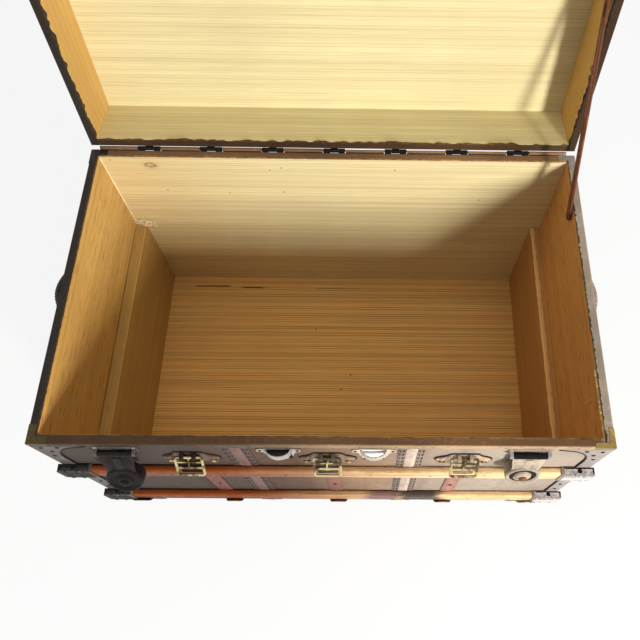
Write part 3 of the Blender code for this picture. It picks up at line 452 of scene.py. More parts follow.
def make_piece(name, parts, look, body, slot, stands_for=(), sharp=38.0):
    """Welds parts into one object, turns its faces outwards and puts it on its body. Parts of the lid
    come as they lie with the lid shut."""
    offsets = np.cumsum([0] + [len(part.points) for part in parts[:-1]])
    points = np.concatenate([part.points for part in parts])
    if body == "lid":
        points = opened(points)
    quads = np.concatenate([part.quads + offset for part, offset in zip(parts, offsets)])
    mesh = bpy.data.meshes.new(name)
    mesh.from_pydata(points, [], quads.tolist())
    uv = np.concatenate([part.uv for part in parts])[quads.reshape(-1)]
    mesh.uv_layers.new(name="UVMap").data.foreach_set("uv", uv.astype(np.float32).reshape(-1))
    wear = mesh.attributes.new("wear", 'FLOAT', 'POINT')
    wear.data.foreach_set("value", np.concatenate([part.wear for part in parts]).astype(np.float32))
    shape = bmesh.new()
    shape.from_mesh(mesh)
    bmesh.ops.remove_doubles(shape, verts=shape.verts, dist=2e-6)
    bmesh.ops.dissolve_degenerate(shape, edges=shape.edges, dist=1e-7)
    bmesh.ops.recalc_face_normals(shape, faces=shape.faces)
    shape.to_mesh(mesh)
    shape.free()
    return put_up(name, mesh, look, body, slot, stands_for, sharp)


def put_up(name, mesh, look, body, slot, stands_for, sharp):
    """Makes the object of a finished mesh, with its look, body and the nodes it stands for; the slot is not
    used.
    """
    mesh.shade_smooth()
    mesh.set_sharp_from_angle(angle=math.radians(sharp))
    mesh.materials.clear()
    mesh.materials.append(look)
    piece = bpy.data.objects.new(name, mesh)
    bpy.context.scene.collection.objects.link(piece)
    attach(piece, body)
    if stands_for:
        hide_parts(*stands_for)
    return piece


def eased(node, look, slot, width):
    """A CAD node's own shape with its edges eased, standing for the node."""
    shape = bmesh.new()
    shape.from_mesh(frame["nodes"][node].data)
    bmesh.ops.remove_doubles(shape, verts=shape.verts, dist=1e-5)
    bmesh.ops.dissolve_limit(shape, angle_limit=math.radians(1.0), verts=shape.verts, edges=shape.edges)
    bmesh.ops.recalc_face_normals(shape, faces=shape.faces)
    edges = [edge for edge in shape.edges
             if len(edge.link_faces) == 2 and edge.calc_face_angle() > math.radians(32)]
    bmesh.ops.bevel(shape, geom=edges, offset=width, segments=2, profile=0.6, affect='EDGES',
                    clamp_overlap=True)
    mesh = bpy.data.meshes.new(f"{node}_eased")
    shape.to_mesh(mesh)
    shape.free()
    body = frame["nodes"][node]["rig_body"]
    return put_up(f"{node}_eased", mesh, look, body, slot, (node,), 30.0)


# Finishes


class Nodes:
    """A material's node tree, with one short call for each kind of node."""

    def __init__(self, name):
        self.material = bpy.data.materials.new(name)
        self.material.use_nodes = True
        self.tree = self.material.node_tree
        self.shader = self.tree.nodes["Principled BSDF"]

    def feed(self, socket, value):
        """Links a socket to another, or sets its own value."""
        if isinstance(value, bpy.types.NodeSocket):
            self.tree.links.new(value, socket)
        elif socket.type == 'RGBA' and len(value) == 3:
            socket.default_value = (*value, 1.0)
        else:
            socket.default_value = value

    def add(self, kind, inputs, **settings):
        """Adds a node with its settings and inputs, by socket name or number."""
        node = self.tree.nodes.new(f"ShaderNode{kind}")
        for key, value in settings.items():
            setattr(node, key, value)
        for key, value in inputs.items():
            self.feed(node.inputs[key], value)
        return node

    def place(self):
        """Object coordinates, which are the trunk's own metres."""
        return self.add("TexCoord", {}).outputs["Object"]

    def uv(self):
        """Lengths along the piece, in metres."""
        return self.add("TexCoord", {}).outputs["UV"]

    def wear(self):
        """How exposed a place on the piece is."""
        return self.add("Attribute", {}, attribute_name="wear").outputs["Fac"]

    def math(self, operation, *values):
        """One sum on numbers."""
        return self.add("Math", dict(enumerate(values)), operation=operation).outputs[0]

    def times(self, first, second):
        """A product."""
        return self.math('MULTIPLY', first, second)

    def away(self, value, middle):
        """Distance of a number from a middle."""
        return self.math('ABSOLUTE', self.math('SUBTRACT', value, middle))

    def dot(self, vector, direction):
        """Distance of a place along a direction."""
        inputs = {0: vector, 1: tuple(direction)}
        return self.add("VectorMath", inputs, operation='DOT_PRODUCT').outputs["Value"]

    def join(self, x, y, z=0.0):
        """Three numbers as one vector."""
        return self.add("CombineXYZ", {0: x, 1: y, 2: z}).outputs[0]

    def split(self, vector):
        """A vector's three numbers."""
        return self.add("SeparateXYZ", {0: vector}).outputs

    def stretch(self, vector, scale):
        """A vector with a scale for each way."""
        return self.add("VectorMath", {0: vector, 1: tuple(scale)}, operation='MULTIPLY').outputs[0]

    def noise(self, vector, scale, detail=2.0, rough=0.5, bend=0.0):
        """Cloudy noise on a vector stretched by a scale for each way."""
        if not isinstance(scale, (int, float)):
            vector, scale = self.stretch(vector, scale), 1.0
        inputs = {"Vector": vector, "Scale": scale, "Detail": detail, "Roughness": rough,
                  "Distortion": bend}
        return self.add("TexNoise", inputs).outputs["Fac"]

    def cells(self, vector, scale, feature='DISTANCE_TO_EDGE'):
        """Distance in a pattern of cells, from their edges or their middles."""
        inputs = {"Vector": vector, "Scale": scale}
        return self.add("TexVoronoi", inputs, feature=feature).outputs["Distance"]

    def ramp(self, value, low, high, start=0.0, end=1.0):
        """A number carried smoothly from one range to another."""
        inputs = {0: value, 1: low, 2: high, 3: start, 4: end}
        return self.add("MapRange", inputs, interpolation_type='SMOOTHSTEP').outputs[0]

    def mix(self, share, first, second, blend='MIX'):
        """Two colours mixed by a share."""
        node = self.add("Mix", {0: share, 6: first, 7: second}, data_type='RGBA', blend_type=blend)
        return node.outputs[2]

    def deepen(self, share, base, factor, warm=1.0):
        """A colour made darker or lighter by a share, and warmer by keeping its red."""
        return self.mix(share, base, (factor * warm, factor, factor / warm), 'MULTIPLY')

    def fade(self, fresh, faded, start=-0.12, end=0.30):
        """Painted light and shade: a colour that runs in uneven clouds from a shaded tone on the trunk's left
        to a paler lit tone on its right.
        """
        place = self.place()
        cloud = self.noise(place, 7.0, 4.0, 0.6)
        x = self.math('MULTIPLY_ADD', cloud, 0.16, self.split(place)[0])
        return self.mix(self.ramp(x, start + 0.08, end + 0.08), tuple(fresh), tuple(faded))

    def coat(self, base, rough, specular, height, depth, strength, metal=0.0):
        """Feeds the shader, with a normal tilted by a height, and returns the material."""
        bump = self.add("Bump", {"Height": height, "Distance": depth, "Strength": strength})
        sockets = {"Base Color": base, "Roughness": rough, "Specular IOR Level": specular,
                   "Metallic": metal, "Normal": bump.outputs[0]}
        for key, value in sockets.items():
            self.feed(self.shader.inputs[key], value)
        return self.material


def shade(colour, factor, warm=1.0):
    """A colour made lighter or darker, and warmer by keeping its red."""
    red, green, blue = colour
    return (min(red * factor * warm, 1.0), min(green * factor, 1.0), min(blue * factor / warm, 1.0))


def pine_look(name, colour, along, across, lines=0.5, marks=0.72, knots=(), cracks=(), toned=None):
    """Bare pine: straight dark lines run in pairs along the board, with finer fibre between them; short marks
    and wide clouds darken it. A knot is a brown ring and a crack is a dark line of its own. Painted shade,
    where given, deepens the board towards its low end."""
    n = Nodes(name)
    place = n.place()
    s, t = n.dot(place, along), n.dot(place, across)
    bent = n.math('MULTIPLY_ADD', n.noise(n.join(s, t), (1.1, 3.0, 1.0), 2.0), 0.004, t)
    flow = n.join(s, bent)
    broad = n.noise(flow, (0.4, 30.0, 1.0), 2.0)
    thin = n.noise(flow, (0.6, 300.0, 1.0), 1.0)
    fibre = n.noise(flow, (8.0, 700.0, 1.0), 3.0, 0.6)
    mark = n.noise(flow, (22.0, 330.0, 1.0), 2.0)
    broken = n.ramp(n.noise(flow, (2.0, 60.0, 1.0), 3.0, 0.6), 0.30, 0.60, 0.55, 1.0)
    phase = n.math('FRACT', n.math('MULTIPLY_ADD', broad, 0.35, n.times(bent, 1 / PINE_PITCH)))
    pair = n.ramp(n.away(n.away(phase, 0.5), 0.15), 0.02, 0.075, 1.0, 0.0)
    line = n.math('MAXIMUM', pair, n.ramp(thin, 0.56, 0.68, 0.0, 0.7))
    line = n.times(line, broken)
    cloud = n.noise(place, 2.6, 3.0, 0.55)
    base = n.mix(n.ramp(broad, 0.35, 0.65), shade(colour, 1.08), shade(colour, 0.96, 1.01))
    base = n.mix(n.times(line, lines), base, shade(colour, 0.33, 1.22))
    base = n.mix(n.ramp(fibre, 0.45, 0.8, 0.0, 0.45), base, shade(colour, 0.50, 1.15))
    base = n.mix(n.ramp(mark, marks, marks + 0.08, 0.0, 0.65), base, shade(colour, 0.26, 1.15))
    base = n.mix(n.ramp(cloud, 0.38, 0.7, 0.0, 0.30), base, shade(colour, 0.68, 1.06))
    for ks, kt, size in knots:
        inputs = {0: n.join(n.times(s, 0.7), t), 1: (0.7 * ks, kt, 0.0)}
        reach = n.add("VectorMath", inputs, operation='DISTANCE').outputs["Value"]
        reach = n.math('DIVIDE', n.math('MULTIPLY_ADD', n.noise(place, 160.0), 0.9 * size, reach), size)
        ring = n.times(n.ramp(reach, 0.7, 1.0), n.ramp(reach, 1.05, 1.35, 1.0, 0.0))
        base = n.mix(n.times(ring, 0.85), base, shade(colour, 0.24, 1.2))
        base = n.mix(n.ramp(reach, 1.0, 2.2, 0.35, 0.0), base, shade(colour, 0.55, 1.15))
    for start, end, level, width in cracks:
        away = n.away(n.math('MULTIPLY_ADD', mark, 0.004, t), level + 0.002)
        inside = n.times(n.ramp(s, start, start + 0.02), n.ramp(s, end - 0.02, end, 1.0, 0.0))
        share = n.times(inside, n.ramp(away, 0.3 * width, width, 0.95, 0.0))
        base = n.mix(share, base, shade(colour, 0.06))
    # Painted shade: the board is darkened towards its low end
    if toned:
        low, high, factor, warm = toned
        base = n.deepen(n.ramp(s, low, high, 1.0, 0.0), base, factor, warm)
    rough = n.ramp(fibre, 0.3, 0.7, 0.52, 0.70)
    height = n.math('SUBTRACT', n.times(fibre, 0.5), line)
    return n.coat(base, rough, 0.3, height, 0.0003, 0.5)


def canvas_look(name, colour, faded):
    """Painted canvas: a plain weave, cloudy stains, scuffs and patches of fine cracks."""
    n = Nodes(name)
    place, lay = n.place(), n.uv()
    u, v = n.split(lay)[:2]
    warp = n.math('SINE', n.times(u, TURN / WEAVE_PITCH))
    weft = n.math('SINE', n.times(v, TURN / WEAVE_PITCH))
    weave = n.times(warp, weft)
    cloud = n.noise(place, 5.0, 5.0, 0.6)
    fine = n.noise(place, 60.0, 4.0, 0.65)
    streak = n.noise(place, (30.0, 30.0, 2.5), 3.0)
    bent = n.join(n.math('MULTIPLY_ADD', fine, 0.028, u), n.math('MULTIPLY_ADD', streak, 0.03, v))
    crack = n.times(n.ramp(n.cells(bent, 46.0), 0.0, 0.04, 0.5, 0.0), n.ramp(cloud, 0.44, 0.62))
    # Painted shade and light: the canvas runs from its dark colour on the left to its pale one on the right
    base = n.fade(colour, faded)
    middle = n.ramp(n.away(n.split(place)[0], -0.02), 0.06, 0.26, 1.0, 0.0)
    base = n.deepen(middle, base, 1.08, 1.28)
    base = n.deepen(n.ramp(cloud, 0.3, 0.72, 1.0, 0.0), base, 0.68, 1.02)
    base = n.deepen(n.ramp(streak, 0.52, 0.8, 0.0, 0.6), base, 0.50, 1.06)
    base = n.deepen(n.ramp(fine, 0.58, 0.75, 0.0, 0.6), base, 1.5)
    base = n.deepen(crack, base, 0.45, 1.1)
    base = n.deepen(n.ramp(weave, 0.0, 1.0, 0.0, 0.3), base, 0.6)
    rough = n.ramp(cloud, 0.3, 0.7, 0.6, 0.85)
    height = n.math('MULTIPLY_ADD', weave, 0.35, fine)
    return n.coat(base, rough, 0.2, height, 0.0003, 0.6)


def binding_look(name, colour, dark, faded):
    """Rim binding: brown painted fibre, rubbed pale along its edges. It is painted shade near black on the
    left end and painted light grey on the right; its outer leg along the front pales from left to right as
    painted light, as the canvas below it does."""
    n = Nodes(name)
    place, wear = n.place(), n.wear()
    cloud = n.noise(place, 9.0, 5.0, 0.6)
    fine = n.noise(place, 130.0, 4.0, 0.65)
    scratch = n.noise(place, (90.0, 90.0, 240.0), 2.0)
    x = n.math('MULTIPLY_ADD', fine, 0.009, n.split(place)[0])
    y = n.split(place)[1]
    # Painted shade and light: the front and the rear each run darker to the left and paler to the right; the
    # rear is paler throughout
    front = n.fade(shade(colour, 0.56), shade(colour, 1.38), -0.26, 0.26)
    rear = n.fade(shade(colour, 1.9, 0.94), shade(colour, 2.5, 0.94), -0.10, 0.30)
    base = n.mix(n.ramp(y, 0.0, 0.2), front, rear)
    leg = n.fade(shade(colour, 0.40, 0.90), shade(colour, 4.2, 0.76), -0.24, 0.24)
    face = -HALF_Y - RIM_OUT
    base = n.mix(n.ramp(y, face + 0.0016, face + 0.0030, 1.0, 0.0), base, leg)
    # Painted shade on the left end and painted light on the right end
    base = n.mix(n.ramp(x, -INNER_X - 0.002, -INNER_X + 0.012), tuple(dark), base)
    base = n.mix(n.ramp(x, INNER_X - 0.006, INNER_X + 0.008), base, tuple(faded))
    base = n.deepen(n.ramp(cloud, 0.3, 0.7, 0.8, 0.0), base, 0.6)
    base = n.deepen(n.times(wear, n.ramp(fine, 0.40, 0.62)), base, 2.2, 1.03)
    split = n.ramp(n.away(x, INNER_X + 0.0055), 0.0011, 0.0028, 0.95, 0.0)
    base = n.deepen(split, base, 0.08)
    base = n.deepen(n.ramp(scratch, 0.60, 0.74, 0.0, 0.6), base, 1.7, 1.04)
    base = n.deepen(n.ramp(fine, 0.60, 0.75, 0.0, 0.6), base, 0.4)
    rough = n.ramp(fine, 0.3, 0.7, 0.5, 0.72)
    return n.coat(base, rough, 0.25, fine, 0.0004, 0.5)


def slat_look(name, colour, faded, stains=()):
    """Varnished slat: long grain along X, pores, varnish worn pale on the edges, dark stains."""
    n = Nodes(name)
    place, wear = n.place(), n.wear()
    x = n.split(place)[0]
    cloud = n.noise(place, (2.2, 6.0, 6.0), 3.0)
    grain = n.noise(place, (3.0, 120.0, 120.0), 3.0, 0.6, 0.4)
    pore = n.noise(place, (24.0, 620.0, 620.0), 2.0)
    fine = n.noise(place, 70.0, 4.0, 0.65)
    # Painted shade and light: the slats run from their deep colour on the left to a pale one on the right
    base = n.fade(colour, faded, -0.20, 0.30)
    base = n.deepen(n.ramp(grain, 0.35, 0.66), base, 0.62, 1.05)
    base = n.deepen(n.ramp(pore, 0.58, 0.72, 0.0, 0.55), base, 0.4, 1.1)
    base = n.deepen(n.ramp(cloud, 0.48, 0.72, 0.0, 0.55), base, 0.5, 1.15)
    rub = n.times(n.ramp(fine, 0.36, 0.6), wear)
    base = n.deepen(n.times(rub, 0.7), base, 1.45, 0.94)
    base = n.deepen(n.ramp(fine, 0.64, 0.74, 0.0, 0.6), base, 0.25, 1.1)
    for middle, half, tone in stains:
        ragged_end = n.noise(place, (30.0, 90.0, 90.0), 3.0)
        away = n.math('MULTIPLY_ADD', ragged_end, 0.05, n.away(x, middle))
        base = n.mix(n.ramp(away, half, half + 0.03, 0.92, 0.0), base, tone)
    rough = n.ramp(fine, 0.3, 0.7, 0.42, 0.65)
    height = n.math('ADD', grain, n.times(fine, 0.6))
    return n.coat(base, rough, 0.14, height, 0.0005, 0.5)


def metal_look(name, colour, bare, rust, rough=(0.3, 0.55), share=(0.5, 0.66), metal=0.85, faded=None):
    """Old metal: a coat or patina worn through to bare metal in patches, with specks of rust and
    pits, and shine that changes from place to place."""
    n = Nodes(name)
    place, wear = n.place(), n.wear()
    cloud = n.noise(place, 28.0, 5.0, 0.62)
    fine = n.noise(place, 240.0, 4.0, 0.65)
    pits = n.cells(place, 420.0, 'F1')
    # Given a second colour, the coat is painted shade on the left and painted light on the right
    base = n.fade(colour, faded) if faded else n.mix(n.ramp(cloud, 0.3, 0.7), colour, shade(colour, 0.85))
    base = n.deepen(n.ramp(fine, 0.35, 0.65, 1.0, 0.0), base, 0.62)
    worn = n.math('MAXIMUM', n.ramp(cloud, *share), n.times(wear, n.ramp(fine, 0.35, 0.6)))
    base = n.mix(n.times(worn, 0.8), base, bare)
    specks = n.times(n.ramp(fine, 0.55, 0.68), n.ramp(cloud, 0.4, 0.58, 1.0, 0.0))
    base = n.mix(n.times(specks, 0.75), base, rust)
    shine = n.ramp(specks, 0.0, 1.0, metal, 0.25 * metal)
    gloss = n.ramp(n.math('MULTIPLY_ADD', specks, 0.4, fine), 0.3, 0.8, *rough)
    height = n.math('MULTIPLY_ADD', fine, 0.7, n.ramp(pits, 0.0, 0.35))
    return n.coat(base, gloss, 0.2, height, 0.00025, 0.45, shine)


def leather_look(name, colour, grain=900.0, faded=None):
    """Old leather: pebbled cells, long creases, edges rubbed paler and dry cracks."""
    n = Nodes(name)
    place, wear = n.place(), n.wear()
    cloud = n.noise(place, 22.0, 4.0, 0.6)
    fine = n.noise(place, 160.0, 4.0, 0.6)
    cells = n.cells(place, grain, 'F1')
    crease = n.cells(n.stretch(place, (60.0, 260.0, 60.0)), 1.0)
    # Given a second colour, the leather is painted shade on the left and painted light on the right
    base = n.fade(colour, faded or colour)
    base = n.deepen(n.ramp(cloud, 0.3, 0.7, 1.0, 0.0), base, 0.65)
    base = n.deepen(n.times(wear, n.ramp(fine, 0.4, 0.65)), base, 1.7, 1.05)
    base = n.deepen(n.ramp(crease, 0.0, 0.06, 0.5, 0.0), base, 0.35)
    rough = n.ramp(fine, 0.3, 0.7, 0.45, 0.72)
    height = n.math('ADD', n.ramp(cells, 0.0, 0.6), n.ramp(crease, 0.0, 0.08))
    return n.coat(base, rough, 0.35, height, 0.0004, 0.5)


def matt_look(name, colour):
    """A flat coat with no shine, a little uneven."""
    n = Nodes(name)
    cloud = n.noise(n.place(), 90.0, 3.0)
    base = n.mix(n.ramp(cloud, 0.3, 0.7), colour, shade(colour, 0.9))
    return n.coat(base, n.ramp(cloud, 0.3, 0.7, 0.85, 0.97), 0.05, cloud, 0.0002, 0.4)


def thread_look(name, colour):
    """Waxed linen thread: a twist across the stitch, dusty on top."""
    n = Nodes(name)
    u, v = n.split(n.uv())[:2]
    lay = n.math('SINE', n.times(n.math('ADD', u, v), TURN / TWIST_PITCH))
    dust = n.noise(n.place(), 300.0, 3.0)
    base = n.mix(n.ramp(lay, -1.0, 1.0), shade(colour, 0.7), shade(colour, 1.4))
    base = n.mix(n.ramp(dust, 0.5, 0.7, 0.0, 0.5), base, shade(colour, 2.0))
    return n.coat(base, n.ramp(dust, 0.3, 0.7, 0.6, 0.85), 0.5, lay, 0.0001, 0.5)


def finishes(context):
    """The trunk's finishes by name, each made at its first use from the colours."""
    tint = context.scene.trunk_colours
    tone = {key: tuple(getattr(tint, key)) for key in TrunkColours.__annotations__}
    steel, iron, brass, rust = (tone[key] for key in ("steel", "iron", "brass", "rust"))
    # Finishes given a last, paler colour (canvas, binding, slats, corner_iron, cap_iron, leaf_brass, keeper,
    # strap, leather, band, band_edge) are painted shade on the trunk's left and painted light on its right
    makers = {
        "canvas": (canvas_look, tone["canvas"], tone["canvas_faded"]),
        "binding": (binding_look, tone["binding"], tone["binding_dark"], tone["binding_faded"]),
        "lid_binding": (binding_look, shade(tone["binding"], 0.25), tone["binding_dark"],
                        shade(tone["binding"], 0.35)),
        "slat": (slat_look, tone["slat"], tone["slat_faded"]),
        "stained_slat": (slat_look, tone["slat"], tone["slat_faded"], STAINS),
        "iron": (metal_look, iron, shade(steel, 0.5), shade(rust, 0.6), (0.36, 0.6), (0.56, 0.74), 0.7),
        "black_iron": (metal_look, shade(iron, 0.22), shade(steel, 0.07), shade(rust, 0.18), (0.5, 0.72),
                       (0.64, 0.82), 0.25),
        "corner_iron": (metal_look, shade(iron, 2.1), shade(steel, 0.55), shade(rust, 0.5), (0.40, 0.62),
                        (0.54, 0.72), 0.3, tone["iron_faded"]),
        "steel": (metal_look, steel, shade(steel, 1.3), shade(rust, 0.8), (0.28, 0.5), (0.45, 0.6), 0.75),
        "worn_steel": (metal_look, (0.50, 0.415, 0.32), (0.62, 0.55, 0.45), shade(rust, 0.6), (0.4, 0.6),
                       (0.42, 0.62), 0.2),
        "hasp_steel": (metal_look, (0.37, 0.30, 0.225), (0.47, 0.405, 0.32), shade(rust, 0.3), (0.45, 0.65),
                       (0.42, 0.62), 0.15),
        "cap_iron": (metal_look, shade(iron, 0.12), shade(steel, 0.10), shade(rust, 0.2), (0.55, 0.75),
                     (0.66, 0.84), 0.12, (0.74, 0.68, 0.65)),
        "leaf_brass": (metal_look, (0.150, 0.074, 0.050), shade(brass, 0.5), (0.04, 0.025, 0.015),
                       (0.4, 0.62), (0.60, 0.80), 0.3, (0.70, 0.51, 0.335)),
        "keeper": (metal_look, (0.024, 0.015, 0.009), shade(brass, 0.22), (0.02, 0.014, 0.01), (0.45, 0.7),
                   (0.60, 0.78), 0.3, (0.46, 0.355, 0.25)),
        "wire_brass": (metal_look, (0.15, 0.11, 0.045), shade(brass, 1.25), (0.05, 0.035, 0.018), (0.28, 0.5),
                       (0.44, 0.56), 0.85),
        # Near-black painted shadow, for the left socket's liner
        "soot": (matt_look, (0.006, 0.005, 0.005)),
        "white": (matt_look, (0.93, 0.93, 0.93)),
        "brass": (metal_look, (0.13, 0.09, 0.045), shade(brass, 0.75), (0.045, 0.03, 0.018), (0.34, 0.58),
                  (0.58, 0.76), 0.8),
        "bright_brass": (metal_look, (0.44, 0.30, 0.085), (0.62, 0.46, 0.16), (0.12, 0.075, 0.03),
                         (0.30, 0.50), (0.42, 0.58), 0.9),
        "dull_brass": (metal_look, (0.10, 0.075, 0.035), shade(brass, 0.55), (0.04, 0.03, 0.02), (0.35, 0.6),
                       (0.55, 0.75), 0.8),
        "rust": (metal_look, rust, shade(rust, 1.5, 1.1), shade(rust, 0.5), (0.5, 0.75), (0.5, 0.66), 0.35),
        "strap": (metal_look, tone["strap"], shade(tone["strap"], 1.25), shade(rust, 0.7), (0.5, 0.72),
                  (0.5, 0.66), 0.1, tone["strap_faded"]),
        "leather": (leather_look, tone["leather"], 900.0, tone["leather_faded"]),
        "band": (leather_look, tone["band"], 1400.0, tone["band_faded"]),
        "band_edge": (leather_look, tone["band_edge"], 1400.0, tone["edge_faded"]),
        "thread": (thread_look, tone["thread"]),
    }

    def finish(name):
        """The finish of that name."""
        title = f"{name}_finish"
        maker, *settings = makers[name]
        return bpy.data.materials.get(title) or maker(title, *settings)

    return finish


def dress(nodes, look):
    """Gives CAD nodes a finish."""
    for node in nodes:
        materials = frame["nodes"][node].data.materials
        materials.clear()
        materials.append(look)


class TRUNK_OT_pine_boards(Operator):
    """Lines the box and the lid with bare pine"""
    bl_idname = "trunk.pine_boards"
    bl_label = "Pine boards"

    def execute(self, context):
        tint = context.scene.trunk_colours
        lid_across = opened(HINGE + Y) - HINGE
        lid_up = opened(HINGE + Z) - HINGE
        ends = {"left": Z + 0.8 * X, "right": Z - 0.8 * X}
        joint = (-0.21, 0.262, SUPPORT_Z + 0.004 - 0.8 * INNER_X, 0.0024)
        # The back carries painted shade towards its left end, and the left end towards its front
        boards = (
            ("floor", ["floor_panel"], tint.pine_floor, X, Y, {"lines": 0.74, "cracks": FLOOR_CRACKS}),
            ("back", ["back_panel"], tint.pine_back, X, Z,
             {"lines": 0.34, "knots": BACK_KNOTS, "toned": (-0.42, -0.10, 0.86, 1.10)}),
            ("front", ["front_panel"], tint.pine_floor, X, Z, {}),
            ("left", ["left_panel"], tint.pine_left, Y, ends["left"],
             {"lines": 0.24, "marks": 0.58, "cracks": (joint,), "toned": (-0.06, 0.16, 0.86, 1.06)}),
            ("right", ["right_panel"], tint.pine_right, Y, ends["right"], {"lines": 0.20, "marks": 0.58}),
            ("lid", ["lid_top_panel"], tint.pine_back, X, lid_across, {"lines": 0.27}),
            ("lid_rail", ["lid_front_rail", "lid_back_rail"], tint.pine_back, X, lid_up, {"lines": 0.27}),
            ("lid_end", ["lid_left_rail", "lid_right_rail"], tint.pine_left, lid_across, lid_up,
             {"lines": 0.24}),
        )
        for name, nodes, tone, along, across, more in boards:
            dress(nodes, pine_look(f"pine_{name}", tone, along, across, **more))
        for side, across in ends.items():
            self.support(side, getattr(tint, f"pine_{side}"), across)
        self.loose_wood()
        return {'FINISHED'}

    def support(self, side, tone, across):
        """Dresses a tray support in pine darkened as painted shade, and carries an uneven flat section of
        paler pine along its upper edge as a painted highlight.
        """
        node = f"{side}_tray_support"
        # Painted shade: the support's pine is darkened to 0.74 of the wall's
        dress([node], pine_look(f"pine_{side}_support", shade(tone, 0.74), Y, across, 0.30, 0.66))
        low, high = open_box(node)
        inner = max(low[0], -high[0]) * (1 if side == "right" else -1)
        # Painted highlight: a wide band of lit pine on the right support, a thin line of the wall's own tone
        # on the left
        inset, half, worn = (0.0046, 0.0050, LIT_PINE) if side == "right" else (0.0, 0.0011, tone)
        path = xyz(inner + inset, np.linspace(low[1] + 0.001, high[1] - 0.001, 120), high[2])
        edge = ragged(path, Z, (0.0010, half), (0.5, 0.6), 31)
        look = pine_look(f"pine_{side}_edge", worn, Y, X, 0.2)
        make_piece(f"{side}_support_highlight", [edge], look, "trunk", "pine")

    def loose_wood(self):
        """Uneven sections along the sealed rear corner and the torn edge of the right wall, and swept
        fibres: a tuft by the left support, shavings on the floor and splinters on the right wall."""
        pale = pine_look("pine_seal", PALE_PINE, Z, X, 0.2)
        corner = xyz(-INNER_X + 0.0006, INNER_Y - 0.0006, np.linspace(RIM_Z - 0.002, 0.272, 40))
        make_piece("corner_seal", [ragged(corner, X, 0.0014, (0.35, 0.95), 3)], pale, "trunk", "pine")
        draw = np.random.default_rng(17)
        tuft = np.array([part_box("left_tray_support")[1].x - 0.022, INNER_Y - 0.0012, SUPPORT_Z + 0.001])
        starts = tuft + draw.random((90, 3)) * (0.046, -0.007, 0.020)
        reach = (draw.random((90, 3)) - 0.5) * (0.024, 0.002, 0.020)
        shavings = xyz(SHAVINGS[..., 0], SHAVINGS[..., 1], FLOOR_Z + 0.001)
        splinters = xyz(INNER_X - 0.001, SPLINTERS[..., 0], SPLINTERS[..., 1])
        fibres = [stitches(starts, starts + reach, -Y, 0.0007),
                  stitches(shavings[:, 0], shavings[:, 1], Z, 0.0010),
                  stitches(splinters[:, 0], splinters[:, 1], -X, 0.0006)]
        make_piece("loose_fibres", fibres, pale, "trunk", "pine")
        torn = xyz(INNER_X - 0.0003, np.linspace(-0.266, -0.150, 60), RIM_Z - 0.0036)
        look = pine_look("pine_torn", TORN_PINE, Y, Z, 0.3)
        make_piece("right_torn_edge", [ragged(torn, Z, 0.0024, (0.25, 1.0), 12)], look, "trunk", "pine")


class TRUNK_OT_canvas(Operator):
    """Wraps the box and the lid in painted canvas"""
    bl_idname = "trunk.canvas"
    bl_label = "Canvas"

    def execute(self, context):
        look = finishes(context)("canvas")
        walls = ["front_panel", "back_panel", "left_panel", "right_panel"]
        self.cover("body_canvas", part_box("body_canvas"), look, "trunk", walls)
        self.cover("lid_canvas", closed_box("lid_canvas"), look, "lid", ["lid_top_panel"])
        return {'FINISHED'}

    def cover(self, node, box, look, body, boards):
        """A skin round four walls, a hoop of a thin section, and one over the flat side; its outside
        sinks by up to half a millimetre where the glue has drawn it in."""
        low, high = np.array(box[0]), np.array(box[1])
        skin, deepest, per_side, rows = 0.0013, 0.0005, 48, 26
        start, end, sign = (high[2], low[2], 1.0) if body == "lid" else (low[2], high[2], -1.0)
        sink = -deepest * uneven((4 * per_side, rows), 5, 6)
        sink = np.concatenate([sink, sink[:1]])
        rise = np.broadcast_to(np.linspace(start, end, rows), sink.shape)
        outer = np.stack([sink, rise], -1)
        inner = np.stack([np.full_like(sink, -skin), rise], -1)[:, ::-1]
        wall = hoop(np.concatenate([outer, inner, outer[:, :1]], 1), high[0], high[1], per_side)
        x, y = np.meshgrid(np.linspace(-high[0], high[0], 60), np.linspace(-high[1], high[1], 40),
                           indexing="ij")
        edge = np.minimum(high[0] - np.abs(x), high[1] - np.abs(y))
        sag = deepest * uneven(x.shape, 9, 6) * np.clip(edge / 0.03, 0.0, 1.0)
        outside, inside = xyz(x, y, start - sign * sag), xyz(x, y, start - sign * skin)
        border = [patch(np.stack([grid_edge(outside, k), grid_edge(inside, k)])) for k in range(4)]
        parts = [wall, patch(outside), patch(inside), *border]
        piece = make_piece(f"{node}_cover", parts, look, body, "canvas", (node,))


